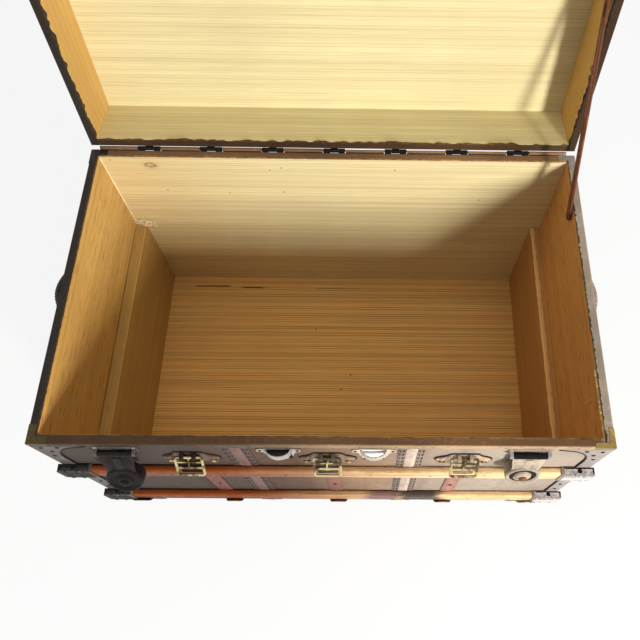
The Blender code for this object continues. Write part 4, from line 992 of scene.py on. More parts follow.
class TRUNK_OT_bindings(Operator):
    """Caps the rims of the box and the lid with binding and brass corners"""
    bl_idname = "trunk.bindings"
    bl_label = "Rim bindings"

    def execute(self, context):
        look = finishes(context)
        leg = context.scene.trunk_sizes.brass_leg
        lid_low = closed_box("lid_rim_binding")[0][2]
        self.cap("body_rim", RIM_Z, -1.0, look("binding"), "trunk", 21, (0.0, 0.0012))
        self.cap("lid_rim", lid_low, 1.0, look("lid_binding"), "lid", 22, (-0.0045, 0.0028))
        # The left corners take darker finishes and the right ones paler: painted shade on the left, painted
        # light on the right
        for (name, sx, sy), finish in zip(CORNERS, ("dull_brass", "bright_brass", "iron", "corner_iron")):
            part = self.corner(sx, sy, leg, 0.0088 if finish == "bright_brass" else 0.0125)
            slot = "brass" if sy < 0 else "dark_steel"
            make_piece(f"{name}_rim_corner", [part], look(finish), "trunk", slot)
        return {'FINISHED'}

    def cap(self, rim, edge, away, look, body, seed, fray):
        """An angle section with a round bend carried round the rim; its inner edge is cut unevenly
        and its flat dips a little. Wear is greatest on the bend."""
        inner = -(HALF_X - INNER_X)
        thick, bend, leg, dip, per_side = 0.0012, 0.0022, RIM_LEG, 0.00035, 150
        angle = np.linspace(TURN / 4, 0, 5)
        out = RIM_OUT - bend + bend * np.cos(angle)
        drop = bend - bend * np.sin(angle)
        flat = np.linspace(inner + 0.0008, RIM_OUT - bend, 5)[:-1]
        loop_out = np.concatenate([[inner, inner], flat, out,
                                   [RIM_OUT, RIM_OUT - 0.0004, CLEAR, CLEAR, inner]])
        loop_drop = np.concatenate([[thick, 0.0003], np.zeros(4), drop,
                                    [leg - 0.0004, leg, leg, thick, thick]])
        wear = [0.9, 1.0, 1.0, 0.0, 0.0, 0.0, 0.1, 0.25, 0.35, 0.25, 0.1, 0.2, 0.5, 0.0, 0.0, 0.9]
        loop = np.stack([loop_out, loop_drop], -1)
        ragged_edge = uneven((4 * per_side,), seed, 1)
        dips = uneven((4 * per_side,), seed + 5, 6)
        ragged_edge, dips = (np.append(values, values[0])[:, None] for values in (ragged_edge, dips))
        section = np.repeat(loop[None], 4 * per_side + 1, 0)
        at_edge = np.isclose(loop[:, 0], inner)
        section[..., 0] += np.where(at_edge, fray[0] + (fray[1] - fray[0]) * ragged_edge, 0.0)
        on_top = (loop[:, 1] < 0.0004) & (loop[:, 0] < RIM_OUT - bend)
        section[..., 1] += np.where(on_top, dip * dips, 0.0)
        section[..., 1] = edge + away * section[..., 1]
        part = hoop(section, HALF_X, HALF_Y, per_side, wear)
        make_piece(f"{rim}_cap", [part], look, body, "binding", (f"{rim}_binding",), 50.0)

    def corner(self, sx, sy, leg, width):
        """A thin angle over a rim corner of the box: a flat and a lip carried round the mitre."""
        lip, thick, gap, ease, fold = 0.011, 0.0004, 0.00005, 0.0006, 0.0002
        top, out = RIM_Z + gap + thick, RIM_OUT + gap + thick
        loop = np.array([(out - width, top), (out - ease, top), (out, top - ease), (out, top - lip),
                         (out - thick, top - lip), (out - thick, top - thick - fold),
                         (out - thick - fold, top - thick), (out - width, top - thick), (out - width, top)])
        share = np.array([0.0, 0.0, 0.12, 0.5, 1.0])
        keep = np.array([0.0, 1.0, 1.0, 1.0, 1.0])
        middle = loop[:-1].mean(0)
        back_x = np.concatenate([leg * (1 - share), np.zeros(4)])[:, None]
        back_y = np.concatenate([np.zeros(5), leg * (1 - share)[:-1][::-1]])[:, None]
        size = np.concatenate([keep, keep[:-1][::-1]])[:, None, None]
        section = middle + (loop - middle) * size
        x = sx * (HALF_X + np.where(back_x > 0, -back_x, section[..., 0]))
        y = sy * (HALF_Y + np.where(back_y > 0, -back_y, section[..., 0]))
        return patch(xyz(x, y, section[..., 1]))


class TRUNK_OT_slats(Operator):
    """Lays the slats and runners"""
    bl_idname = "trunk.slats"
    bl_label = "Slats and runners"

    def execute(self, context):
        look = finishes(context)
        sizes = context.scene.trunk_sizes
        names = [f"{face}_{level}_slat" for face in ("front", "back") for level in LEVELS]
        names += [f"{place}_runner" for place in ("front", "centre", "rear")]
        bars = [(node, "trunk", open_box(node), seed) for seed, node in enumerate(names)]
        bars += [(f"lid_{face}_slat", "lid", closed_box(f"lid_{face}_slat"), seed)
                 for seed, face in enumerate(("front", "rear"), 20)]
        for node, body, box, seed in bars:
            finish = look("stained_slat" if node == "front_lower_slat" else "slat")
            part = self.bar(*box, sizes, seed)
            make_piece(f"{node}_wood", [part], finish, body, "slat_wood", (node,), 60.0)
        return {'FINISHED'}

    def bar(self, low, high, sizes, seed):
        """A rounded section carried along X between two corners; knocks push it inwards, more on
        its rounded edges than on its sides."""
        size, middle = high - low, (high + low) / 2
        stations = 180
        path = xyz(np.linspace(low[0], high[0], stations), middle[1], middle[2])
        loop, worn = rounded(size[2], size[1], min(sizes.slat_edge, 0.45 * min(size[1:])), 4, 5)
        knocks = uneven((stations, len(loop) - 1), seed + 40, 2) ** 3
        knocks = np.concatenate([knocks, knocks[:, :1]], 1) * (0.25 + 0.75 * worn)
        section = loop * (1 - sizes.slat_dent * knocks[..., None] / np.linalg.norm(loop, axis=-1)[:, None])
        return sweep(path, Z, section, worn)


class TRUNK_OT_bands(Operator):
    """Sews the stitched bands to the canvas"""
    bl_idname = "trunk.bands"
    bl_label = "Stitched bands"

    def execute(self, context):
        look = finishes(context)
        sizes = context.scene.trunk_sizes
        gap = 0.0006
        slats = [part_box(f"front_{level}_slat") for level in LEVELS]
        levels = [RIM_Z - RIM_LEG] + [z for low, high in slats for z in (high.z, low.z)] + [BASE_Z]
        lid_low, lid_high = (corner[2] for corner in closed_box("lid_canvas"))
        lid_slats = sorted(corner[1] for face in ("front", "rear")
                           for corner in closed_box(f"lid_{face}_slat"))
        marks = [-HALF_Y, *lid_slats, HALF_Y]
        made = {"trunk": ([], [], []), "lid": ([], [], [])}
        for x in (-sizes.band_place, sizes.band_place):
            for side in (-1, 1):
                runs = [("trunk", high, low) for high, low in zip(levels[::2], levels[1::2])]
                for body, high, low in [*runs, ("lid", lid_high, lid_low + RIM_LEG)]:
                    ends = xyz(x, side * HALF_Y, np.array([high - gap, low + gap]))
                    self.band(*ends, side * Y, sizes, *made[body])
            for near, far in zip(marks[::2], marks[1::2]):
                ends = xyz(x, np.array([near + gap, far - gap]), lid_high)
                self.band(*ends, Z, sizes, *made["lid"])
        names = (("front_and_back_bands", "lid_bands", "band"), ("band_edges", "lid_band_edges", "band_edge"),
                 ("band_stitches", "lid_band_stitches", "thread"))
        for (on_body, on_lid, finish), body_parts, lid_parts in zip(names, made["trunk"], made["lid"]):
            make_piece(on_body, body_parts, look(finish), "trunk", "binding")
            make_piece(on_lid, lid_parts, look(finish), "lid", "binding")
        return {'FINISHED'}

    def band(self, start, end, out, sizes, parts, edges, threads):
        """A raised middle section carried from start to end between two thinner edge sections, each
        sewn down with two rows of slanted stitches."""
        length = np.linalg.norm(end - start)
        along = (end - start) / length
        count = max(int(length / 0.006), 4)
        lift = out * (CLEAR + 0.0001)
        path = start + lift + np.linspace(0, length, count)[:, None] * along
        half, thick = sizes.band_width / 2, sizes.band_thick
        side = np.cross(along, out)
        across = np.array([-1.0, -0.95, 0.0, 0.95, 1.0, 1.0, -1.0, -1.0])
        rise = np.array([0.8, 1.0, 1.0, 1.0, 0.8, 0.0, 0.0, 0.8]) * thick
        worn = np.array([1.0, 0.6, 0.0, 0.6, 1.0, 0.2, 0.2, 1.0])
        parts.append(sweep(path, side, np.stack([0.42 * half * across, rise], -1), worn))
        rows = int((length - 0.004) / sizes.stitch_pitch)
        steps = (np.arange(rows) + 0.5) * sizes.stitch_pitch + (length - rows * sizes.stitch_pitch) / 2
        strip = np.stack([0.27 * half * across, 0.6 * rise], -1)
        row = start + lift + steps[:, None] * along + out * 0.62 * thick
        for edge in (-1, 1):
            edges.append(sweep(path + side * edge * 0.73 * half, side, strip, 0.5 * worn))
            for lane, slant in ((0.60, 1), (0.87, -1)):
                middle = row + side * edge * lane * half
                reach = along * sizes.stitch_long / 2 + side * edge * slant * 0.0016
                threads.append(stitches(middle - reach, middle + reach, out, 0.0011))


class TRUNK_OT_straps(Operator):
    """Sets the steel straps between and below the slats"""
    bl_idname = "trunk.straps"
    bl_label = "Steel straps"

    def execute(self, context):
        look = finishes(context)
        sizes = context.scene.trunk_sizes
        parts, heads, toes = [], [], []
        upper, lower = (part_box(f"front_{level}_slat") for level in LEVELS)
        thick = sizes.strap_thick
        section, worn = rounded(sizes.strap_width, thick, 0.45 * thick, 2, 2)
        face = HALF_Y + CLEAR + thick / 2 + 0.0001
        front = -lower[0].y + thick / 2 + 0.0003
        top, foot, edge = upper[0].z - 0.0006, lower[1].z + 0.0008, lower[0].z
        levels = np.array([top - 0.030, foot + 0.066, edge - 0.030])
        for side in (-1, 1):
            for x in BUCKLE_X + 0.002:
                parts.append(sweep(xyz(x, side * face, np.linspace(top, foot, 12)), side * X, section, worn))
                parts.append(self.toe(0.965 * x + 0.003, side, face, front, edge, section * (1.5, 1.0), worn))
                spots = xyz(x, side * (face + thick / 2), levels)
                heads.append(rivets(spots, side * Y, sizes.rivet * 1.15))
            for x in (-0.400, 0.402):
                toes.append(self.toe(x, side, face, front, edge, section * (1.75, 1.0), worn))
        make_piece("slat_toes", toes, look("cap_iron"), "trunk", "dark_steel")
        make_piece("slat_straps", parts, look("strap"), "trunk", "rusty_steel")
        make_piece("strap_rivets", heads, look("iron"), "trunk", "dark_steel")
        return {'FINISHED'}

    def toe(self, x, side, face, front, edge, section, worn):
        """A short strap carried up the wall, then out in a bow to a rounded end under a slat's edge."""
        out = np.array([0.0, 0.0, 0.0, 0.06, 0.35, 0.75, 1.0, 1.22, 1.30, 1.26]) * (front - face) + face
        z = np.array([-36, -26, -18, -13, -8.5, -5.5, -3.5, 0, 4, 8]) / 1000 + edge
        taper = np.array([1, 1, 1, 1, 0.98, 0.94, 0.88, 0.78, 0.62, 0.34])
        loop = section * np.stack([taper, np.ones(len(z))], -1)[:, None]
        return sweep(xyz(x, side * out, z), side * X, loop, worn)


class TRUNK_OT_corner_irons(Operator):
    """Fits the corner irons, their slat caps and their rivets"""
    bl_idname = "trunk.corner_irons"
    bl_label = "Corner irons"

    def execute(self, context):
        look = finishes(context)
        sizes = context.scene.trunk_sizes
        for name, _, _ in CORNERS:
            eased(f"{name}_corner_iron", look("corner_iron"), "dark_steel", sizes.eased_edge)
            eased(f"lid_{name}_corner", look("corner_iron"), "dark_steel", sizes.eased_edge)
        heads, caps, edges, beads = [], [], [], []
        inset, level = IRON_RIVETS.T
        for name, sx, sy in CORNERS:
            heads += self.face_rivets(sx, sy, inset, level, sizes.rivet)
            beads += self.beads(name, sx, sy)
            for low, high in (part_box(f"front_{level_name}_slat") for level_name in LEVELS):
                caps.append(self.slat_cap(sx, sy, low.z, high.z))
                edges += self.cap_edges(sx, sy, high.z)
        make_piece("corner_rivets", heads, look("iron"), "trunk", "dark_steel")
        make_piece("slat_end_caps", caps, look("cap_iron"), "trunk", "dark_steel")
        make_piece("slat_cap_edges", edges, look("black_iron"), "trunk", "dark_steel")
        make_piece("corner_beads", beads, look("black_iron"), "trunk", "dark_steel")
        self.lid_corners(look, sizes)
        return {'FINISHED'}

    def face_rivets(self, sx, sy, inset, level, radius):
        """Rivets on both faces of a corner, by their distances from its edge and their heights."""
        return [rivets(xyz(sx * (HALF_X - inset), sy * (HALF_Y + IRON_FACE), level), sy * Y, radius),
                rivets(xyz(sx * (HALF_X + IRON_FACE), sy * (HALF_Y - inset), level), sx * X, radius)]

    def beads(self, name, sx, sy):
        """A thin round bead carried down the inner edge of both faces of a corner iron, as far as it
        runs between the slat caps."""
        points = np.abs(node_points(f"{name}_corner_iron"))
        faces = np.array([HALF_X, HALF_Y]) + IRON_FACE
        slats = [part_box(f"front_{level}_slat") for level in LEVELS]
        clamps = sorted((low.z - 0.006, high.z + 0.006) for low, high in slats)
        count, near = 260, 2e-4
        for flat, run in ((1, 0), (0, 1)):
            on = points[np.isclose(points[:, flat], faces[flat], atol=near)]
            levels = np.unique(on[:, 2].round(4))
            inner = np.array([on[np.isclose(on[:, 2], z, atol=near), run].min() for z in levels])
            keep = (inner < (HALF_X, HALF_Y)[run] - 0.02) & (levels > BASE_Z + 0.001)
            for low, high in clamps:
                keep &= (levels < low) | (levels > high)
            levels, inner = levels[keep], inner[keep]
            z = np.linspace(levels[0], levels[-1], count)
            path = np.zeros((count, 3))
            path[:, run] = np.interp(z, levels, inner) * (sx, sy)[run]
            path[:, flat] = (faces[flat] - 0.0002) * (sx, sy)[flat]
            path[:, 2] = z
            marks = [mark for clamp in clamps for mark in clamp] if flat == 1 else []
            marks = [levels[0], *marks, levels[-1]]
            for start, end in zip(marks[::2], marks[1::2]):
                yield sweep(path[(z >= start) & (z <= end)], (X, Y)[run], ring_section(0.0013, 8))

    def slat_cap(self, sx, sy, low, high):
        """A cast cap over a slat's end clamp: a rounded box section carried along X, drawn in at its
        outer end, with two raised ribs round it."""
        x = np.array([0, 0.5, 3, 12, 13.5, 16.5, 18, 31, 32.5, 35.5, 37, 52, 53.5]) / 1000
        swell = np.array([0.62, 0.80, 0.95, 1.0, 1.05, 1.05, 1.0, 1.0, 1.05, 1.05, 1.0, 1.0, 0.985])
        loop, worn = rounded(high - low + 0.0066, 2 * (CLAMP_DEEP + 0.0014), 0.007, 4, 3)
        section = loop * np.stack([0.5 + 0.5 * swell, swell], -1)[:, None]
        section[..., 1] = np.maximum(section[..., 1] - 0.0021, 0.0)
        out, wall = HALF_X + CLAMP_OUT + 0.0006, HALF_Y + CLEAR + 0.0018
        return sweep(xyz(sx * (out - x), sy * wall, (low + high) / 2), -sx * sy * Z, section, worn)

    def cap_edges(self, sx, sy, high):
        """A thin bead carried along the back and the outer end of a slat cap's top, and a nail on it."""
        out, top = HALF_X + CLAMP_OUT - 0.002, high + 0.0034
        back, front = HALF_Y + CLEAR + 0.0030, HALF_Y + CLAMP_DEEP - 0.003
        rear = xyz(sx * np.linspace(out - 0.050, out, 16), sy * back, top)
        end = xyz(sx * out, sy * np.linspace(back, front, 8), top - 0.0006)
        nail = np.array([sx * (out - 0.024), sy * (back + front) / 2, top])
        section = ring_section(0.0012, 8)
        return [sweep(rear, Y, section), sweep(end, X, section), rivets(nail, Z, 0.0042, 0.0010)]

    def lid_corners(self, look, sizes):
        """Rivets on the lid's corner caps, and clips over the ends of its slats: a flat section carried
        up one side of the slat, over it with round bends and down the other side."""
        lid_top = closed_box("lid_canvas")[1][2]
        heads, clips = [], []
        flat_x, flat_y = np.array([(0.012, 0.012), (0.042, 0.012), (0.012, 0.042)]).T
        inset, drop = np.array([(0.012, 0.014), (0.036, 0.010), (0.012, 0.050), (0.012, 0.080)]).T
        for _, sx, sy in CORNERS:
            spots = xyz(sx * (HALF_X - flat_x), sy * (HALF_Y - flat_y), lid_top + IRON_FACE)
            heads.append(rivets(spots, Z, sizes.rivet))
            heads += self.face_rivets(sx, sy, inset, lid_top - drop, sizes.rivet)
        section, worn = rounded(0.026, 0.0014, 0.0006, 2, 2)
        radius, foot = 0.004, lid_top + 0.0012
        bend = np.linspace(0, TURN / 4, 5)
        for face in ("front", "rear"):
            low, high = closed_box(f"lid_{face}_slat")
            y = (low[1] + high[1]) / 2
            wide, tall = (high[1] - low[1]) / 2 + 0.0012, high[2] + 0.0011
            half_y = np.concatenate([np.linspace(0, wide - radius, 4)[:-1],
                                     wide - radius + radius * np.sin(bend),
                                     [wide, wide + 0.002, wide + 0.012]])
            half_z = np.concatenate([np.full(3, tall), tall - radius + radius * np.cos(bend),
                                     [foot + 0.002, foot, foot]])
            path_y = np.concatenate([-half_y[::-1], half_y[1:]]) + y
            path_z = np.concatenate([half_z[::-1], half_z[1:]])
            for x in (0.016 - high[0], high[0] - 0.016):
                clips.append(sweep(xyz(x, path_y, path_z), X, section, worn))
                spots = [(x, y - wide - 0.007, foot), (x, y + wide + 0.007, foot), (x, y, tall)]
                heads.append(rivets(spots + 0.0007 * Z, Z, sizes.rivet * 0.8))
        make_piece("lid_rivets", heads, look("steel"), "lid", "dark_steel")
        make_piece("lid_slat_clips", clips, look("iron"), "lid", "dark_steel")


class TRUNK_OT_handles(Operator):
    """Makes the leather end handles with their stitching, plates and rivets"""
    bl_idname = "trunk.handles"
    bl_label = "End handles"

    def execute(self, context):
        look = finishes(context)
        sizes = context.scene.trunk_sizes
        for side, sx in (("left", -1), ("right", 1)):
            self.handle(side, sx, look, sizes)
            eased(f"{side}_handle_plate", look("iron"), "dark_steel", sizes.eased_edge)
        return {'FINISHED'}

    def handle(self, side, sx, look, sizes):
        """A crowned section carried along the bow of the handle: flat where the bridges hold it and
        fuller in the grip; a row of stitches follows each edge of its outer face."""
        low, high = open_box(f"{side}_handle")
        middle = (low + high) / 2
        half, wide = (high[1] - low[1]) / 2, (high[2] - low[2]) / 2
        seat, thick, rise, tab = HALF_X + 0.0026, 0.0078, high[0] - low[0] - 0.008, 0.034
        y = np.linspace(-half + 0.001, half - 0.001, 90)
        share = np.clip(np.abs(y) / (half - tab), 0.0, 1.0)
        bow = rise * np.cos(share * TURN / 4) ** 2
        grip = np.cos(share * TURN / 4) ** 1.5
        girth = thick + sizes.handle_crown * grip
        normal = unit(np.stack([np.ones_like(y), -np.gradient(bow, y)], -1))
        x = seat + bow + normal[:, 0] * thick / 2
        path = xyz(sx * x, middle[1] + y + normal[:, 1] * thick / 2, middle[2])
        profile = ring_section(1.0, 28)
        profile = np.sign(profile) * np.abs(profile) ** np.array([0.55, 0.75])
        ends = np.clip((half - np.abs(y)) / 0.008, 0.25, 1.0) ** 0.5
        width = (wide - 0.0004) * ends * (1 - 0.10 * grip)
        section = profile * np.stack([width, girth / 2], -1)[:, None]
        worn = np.clip(np.abs(profile[:, 0]) * 1.6 - 0.9, 0.0, 1.0)
        make_piece(f"{side}_leather_handle", [sweep(path, Z, section, worn)], look("leather"), "trunk",
                   "handle_leather", (f"{side}_handle",), 60.0)
        steps = np.append(0, np.cumsum(np.linalg.norm(np.diff(path, axis=0), axis=-1)))
        pitch, long, margin = 0.0062, 0.0040, 0.008
        at = np.arange(margin, steps[-1] - margin, pitch)
        out = xyz(sx * normal[:, 0], normal[:, 1], 0.0)
        threads = []
        for edge in (-1, 1):
            line = path + out * (girth / 2 * 0.80)[:, None] + Z * (edge * 0.74 * width)[:, None]
            start, end = (np.stack([np.interp(place, steps, line[:, k]) for k in range(3)], -1)
                          for place in (at, at + long))
            keep = np.abs(start[:, 1] - middle[1]) < half - tab - 0.004
            threads.append(stitches(start[keep], end[keep], sx * X, 0.00055))
        make_piece(f"{side}_handle_stitches", threads, look("thread"), "trunk", "handle_leather")
        plate_low, plate_high = open_box(f"{side}_handle_plate")
        reach = (plate_high - plate_low) / 2 - (0.0, 0.0055, 0.0048)
        spots = [(sx * (HALF_X + 0.0023), middle[1] + a * reach[1], middle[2] + b * reach[2])
                 for a in (-1, 1) for b in (-1, 1)]
        heads = rivets(spots, sx * X, sizes.rivet)
        make_piece(f"{side}_handle_rivets", [heads], look("steel"), "trunk", "dark_steel")


class TRUNK_OT_buckles(Operator):
    """Makes the wire buckle frames and their lobed plates"""
    bl_idname = "trunk.buckles"
    bl_label = "Buckles"

    def execute(self, context):
        look = finishes(context)
        sizes = context.scene.trunk_sizes
        for name in BUCKLES:
            pivot = np.array(JOINTS[f"{name}_buckle_swing"]["pos_m"])
            parts = hung(self.frame(sizes.wire), FRAME_TILT, pivot)
            make_piece(f"{name}_buckle_wire", parts, look("wire_brass"), f"{name}_buckle", "brass",
                       (f"{name}_buckle_frame",), 50.0)
            self.base(name, pivot, look)
            eased(f"lid_{name}_catch", look("brass"), "brass", sizes.eased_edge)
        return {'FINISHED'}

    def frame(self, wire):
        """Round wire carried round a square with round corners, a bar and a thinner roller across it,
        a prong from the bar to the pivot and the pivot itself."""
        half, length, cross, roller, bend = 0.0215, 0.0455, 0.0265, 0.0125, 0.005
        corners = np.array([(half - bend, -bend), (-half + bend, -bend),
                            (-half + bend, -length + bend), (half - bend, -length + bend)])
        turn = np.linspace(0, TURN / 4, 6) + np.arange(4)[:, None] * TURN / 4
        loop = (corners[:, None] + bend * np.stack([np.cos(turn), np.sin(turn)], -1)).reshape(-1, 2)
        seam = (loop[-1] + loop[0]) / 2
        loop = np.concatenate([[seam], loop, [seam]])
        section = ring_section(wire)
        bar = xyz(np.linspace(-half, half, 4), 0.0, 0.0)
        share = np.linspace(0, 1, 8)
        prong = xyz(np.linspace(-0.0012, 0.0012, 8), -0.0012 * np.sin(share * math.pi),
                    np.linspace(-cross, 0.002, 8))
        taper = (0.85 + 0.35 * share)[:, None, None]
        sleeve = xyz(np.linspace(-0.0045, 0.0045, 4), 0.0, -cross)
        rows = ((xyz(loop[:, 0], 0.0, loop[:, 1]), 1.0), (bar - cross * Z, 1.0), (prong, taper * 0.8),
                (bar - roller * Z, 0.6), (sleeve, 1.3), (bar, 0.87))
        return [sweep(path, Y, section * girth) for path, girth in rows]

    def block(self, outline, start, end):
        """An outline in Y and Z carried along X, drawn in a little at both ends."""
        outline = np.concatenate([outline, outline[:1]])
        centre = outline[:-1].mean(0)
        size = np.array([0.0, 0.92, 1.0, 1.0, 0.92, 0.0])[:, None, None]
        x = np.array([start, start, start + 0.0005, end - 0.0005, end, end])
        section = centre + (outline - centre) * size
        return patch(xyz(x[:, None], section[..., 0], section[..., 1]))

    def base(self, name, pivot, look):
        """A leaf-shaped plate whose edges are curves in X, a raised stop under the frame, two lugs round
        the pivot and a rivet in each wing."""
        low, high = open_box(f"{name}_buckle_plate")
        half = (high[0] - low[0]) / 2
        u = np.linspace(-1, 1, 61)
        reach = np.abs(u)
        top, foot = np.interp(reach, *LEAF_TOP), np.interp(reach, *LEAF_FOOT)
        at = np.array([pivot[0], -HALF_Y, pivot[2]])
        seat = at - CLEAR * Y
        standoff = -HALF_Y - pivot[1]
        sine, cosine = math.sin(FRAME_TILT), math.cos(FRAME_TILT)

        def tilted(along, back):
            """Y and Z of places along the hanging frame and behind it."""
            along, back = np.asarray(along), np.asarray(back)
            return np.stack([back * cosine - standoff - along * sine, -along * cosine - back * sine], -1)

        angle = np.linspace(TURN / 4, 3 * TURN / 4, 11)
        round_lug = 0.005 * np.stack([np.cos(angle), np.sin(angle)], -1) - (standoff, 0.0)
        lug = np.concatenate([[(-CLEAR, 0.005)], round_lug, [(-CLEAR, -0.005)]])
        crown = tilted(np.linspace(0.010, 0.0272, 6), np.full(6, 0.0028))
        hump = np.concatenate([[(-CLEAR, crown[0, 1] + 0.001)], crown, [(-CLEAR, crown[-1, 1] - 0.010)]])
        keeper = [self.block(lug, x - 0.0034, x + 0.0034) for x in (-0.010, 0.010)]
        keeper.append(self.block(hump, -0.0122, 0.0122))
        for start, end, lift in KEEPER_RIBS:
            rib = tilted([start, end, end, start], [0.0036 + lift, 0.0036 + lift, 0.0048, 0.0048])
            keeper.append(self.block(rib, -0.0165, 0.0165))
        # Painted shadow: a black plate a little larger than the leaf, showing as a dark outline round it
        under = plate(u * (half + 0.0022), foot - 0.0026, top + 0.0030, 0.0012)
        leaf = plate(u * half, foot, top, 0.0016 + 0.0034 * np.exp(-((reach - 0.76) / 0.13) ** 2))
        spots = np.array([(side * 0.76 * half, -0.0048, -0.033) for side in (-1, 1)]) + seat
        eyes, heads = rivets(spots, -Y, 0.0062, 0.0006), rivets(spots - 0.0005 * Y, -Y, 0.0044, 0.0022)
        rows = (("keeper", shifted(keeper, at), "keeper", "dark_steel", ()),
                ("backing", shifted(under, seat), "black_iron", "dark_steel", ()),
                ("base", shifted(leaf, seat), "leaf_brass", "dark_steel", (f"{name}_buckle_plate",)),
                ("eyes", [eyes], "black_iron", "dark_steel", ()),
                ("rivets", [heads], "bright_brass", "brass", ()))
        for title, parts, finish, slot, nodes in rows:
            make_piece(f"{name}_buckle_{title}", parts, look(finish), "trunk", slot, nodes)


class TRUNK_OT_hasps(Operator):
    """Makes the hasps, their plates and the studs on the lid"""
    bl_idname = "trunk.hasps"
    bl_label = "Hasps"

    def execute(self, context):
        look = finishes(context)
        sizes = context.scene.trunk_sizes
        rows = (("left", "black_iron", "black_iron"), ("right", "hasp_steel", "rust"))
        for side, finish, knob_finish in rows:
            body = f"{side}_hasp"
            joint = JOINTS[f"{body}_swing"]
            tilt = HASP_TILT - math.radians(joint["range_deg"][0])
            arm, cup_shadow, knob, barrel = (hung(parts, tilt, joint["pos_m"]) for parts in self.hasp())
            make_piece(f"{body}_arm", arm, look(finish), body, "grey_steel", (body,), 40.0)
            make_piece(f"{body}_barrel", barrel, look("black_iron"), body, "dark_steel", (), 40.0)
            make_piece(f"{body}_knob", knob, look(knob_finish), body, "rusty_steel")
            make_piece(f"{body}_keyhole", cup_shadow, look("black_iron"), body, "dark_steel")
            eased(f"{body}_plate", look("corner_iron"), "grey_steel", sizes.eased_edge)
            eased(f"lid_{side}_stud", look(finish), "grey_steel", sizes.eased_edge)
            low, high = open_box(f"{body}_plate")
            spots = [(x, -HALF_Y - 0.0018, z) for x in (low[0] + 0.005, high[0] - 0.005)
                     for z in (low[2] + 0.005, high[2] - 0.005)]
            make_piece(f"{body}_rivets", [rivets(spots, -Y, 0.0026)], look("steel"), "trunk", "grey_steel")
        return {'FINISHED'}

    def hasp(self):
        """A tapering arm, a cup turned from a stepped profile with a dark crescent between two circles in it,
        which paints the shadow under the cup's upper rim, a rolled barrel and its pin."""
        reach, count = 0.069, 16
        share = np.linspace(0, 1, count)
        width = 0.0535 + (0.045 - 0.0535) * (share * share * (3 - 2 * share))
        path = xyz(0.0, -0.0016 * np.sin(share * math.pi), np.linspace(-0.0045, -reach + 0.020, count))
        loop, worn = rounded(1.0, 0.0028, 0.0011, 3, 4)
        arm = sweep(path, X, loop * np.stack([width, np.ones(count)], -1)[:, None], worn)
        rib_loop, rib_worn = rounded(0.012, 0.0016, 0.0007, 2, 1)
        ridge = sweep(xyz(0.0, -0.0026, np.linspace(-0.010, -reach + 0.028, 12)), X, rib_loop, rib_worn)
        cup = spin(HASP_CUP, -reach * Z, Y, 48)
        half = 0.0267
        groove = np.array([(0.0, half), (0.0044, half), (0.0052, half - 0.0008), (0.0054, 0.0105),
                           (0.0047, 0.0100), (0.0047, 0.0094), (0.0054, 0.0089)])
        roll = spin(np.concatenate([groove * (1, -1), groove[::-1]]), np.zeros(3), X, 20)
        pin = spin([(0.0, -0.0332), (0.0024, -0.0332), (0.0024, 0.0332), (0.0, 0.0332)], np.zeros(3), X, 14)
        # Painted shadow: a dark crescent under the cup's upper rim
        ring = ring_section(1.0, 48)
        around = xyz(ring[:, 0], 0.0, ring[:, 1])
        inside, outside = 0.0150 * around - 0.0064 * Z, 0.0228 * around
        low, high = -0.0016 * Y, -0.0023 * Y
        crescent = np.stack([inside + low, inside + high, outside + high, outside + low, inside + low])
        knob = rivets(np.array([0.0, -0.0058, -reach - 0.003]), -Y, 0.0068, 0.0040)
        return [arm, ridge, cup], [patch(crescent - reach * Z)], [knob], [roll, pin]


class TRUNK_OT_sockets(Operator):
    """Makes the dowel sockets and the dowels on the lid"""
    bl_idname = "trunk.sockets"
    bl_label = "Dowel sockets"

    def execute(self, context):
        look = finishes(context)
        sizes = context.scene.trunk_sizes
        # The left socket's liner is near-black painted shadow
        for side, finish, liner_finish in (("left", "steel", "soot"), ("right", "worn_steel", "white")):
            self.socket(side, look(finish), look(liner_finish), look("black_iron"))
            eased(f"lid_{side}_dowel", look("iron"), "dark_steel", sizes.eased_edge)
        return {'FINISHED'}

    def socket(self, side, finish, liner_finish, rivet_finish):
        """A wall carried along half an ellipse that narrows below into a closed pocket, on a shield
        whose top runs out in two ears and whose lower edge runs in scallops."""
        low, high = open_box(f"{side}_dowel_socket")
        middle, half = (low + high) / 2, (high - low) / 2
        u = np.linspace(-1, 1, 97)
        reach = np.abs(u)
        top = np.interp(reach, *SHIELD_TOP) * half[2]
        scallop = 0.07 * np.abs(np.sin(u * 4.5 * math.pi)) * (reach < 0.62)
        drop = np.interp(reach, *SHIELD_DROP) * (1 - scallop)
        at = np.array([middle[0], -HALF_Y - CLEAR, middle[2]])
        angle = np.linspace(math.pi, TURN, 33)
        wide, rise = 0.020, -low[1] - HALF_Y - CLEAR - 0.0009
        path = xyz(wide * np.cos(angle), rise * np.sin(angle), 0.0)
        loop, worn = rounded(2 * half[2] - 0.002, 0.002, 0.0008, 2, 2)
        lip, lip_worn = rounded(0.0030, 0.0030, 0.0011, 3, 1)
        parts = plate(u * half[0], -drop, top, 0.0015)
        parts += [sweep(path, Z, loop, worn), sweep(path + Z * (half[2] - 0.0017), Z, lip, lip_worn)]
        liner = plate(0.0185 * u, np.full(97, -0.044), np.full(97, 0.008), 0.0022)
        heads = rivets(SOCKET_RIVETS + at, -Y, 0.0026, 0.0016)
        make_piece(f"{side}_socket_liner", shifted(liner, at), liner_finish, "trunk", "dark_steel")
        make_piece(f"{side}_dowel_loop", shifted(parts, at), finish, "trunk", "dark_steel",
                   (f"{side}_dowel_socket",), 40.0)
        make_piece(f"{side}_socket_rivets", [heads], rivet_finish, "trunk", "dark_steel")


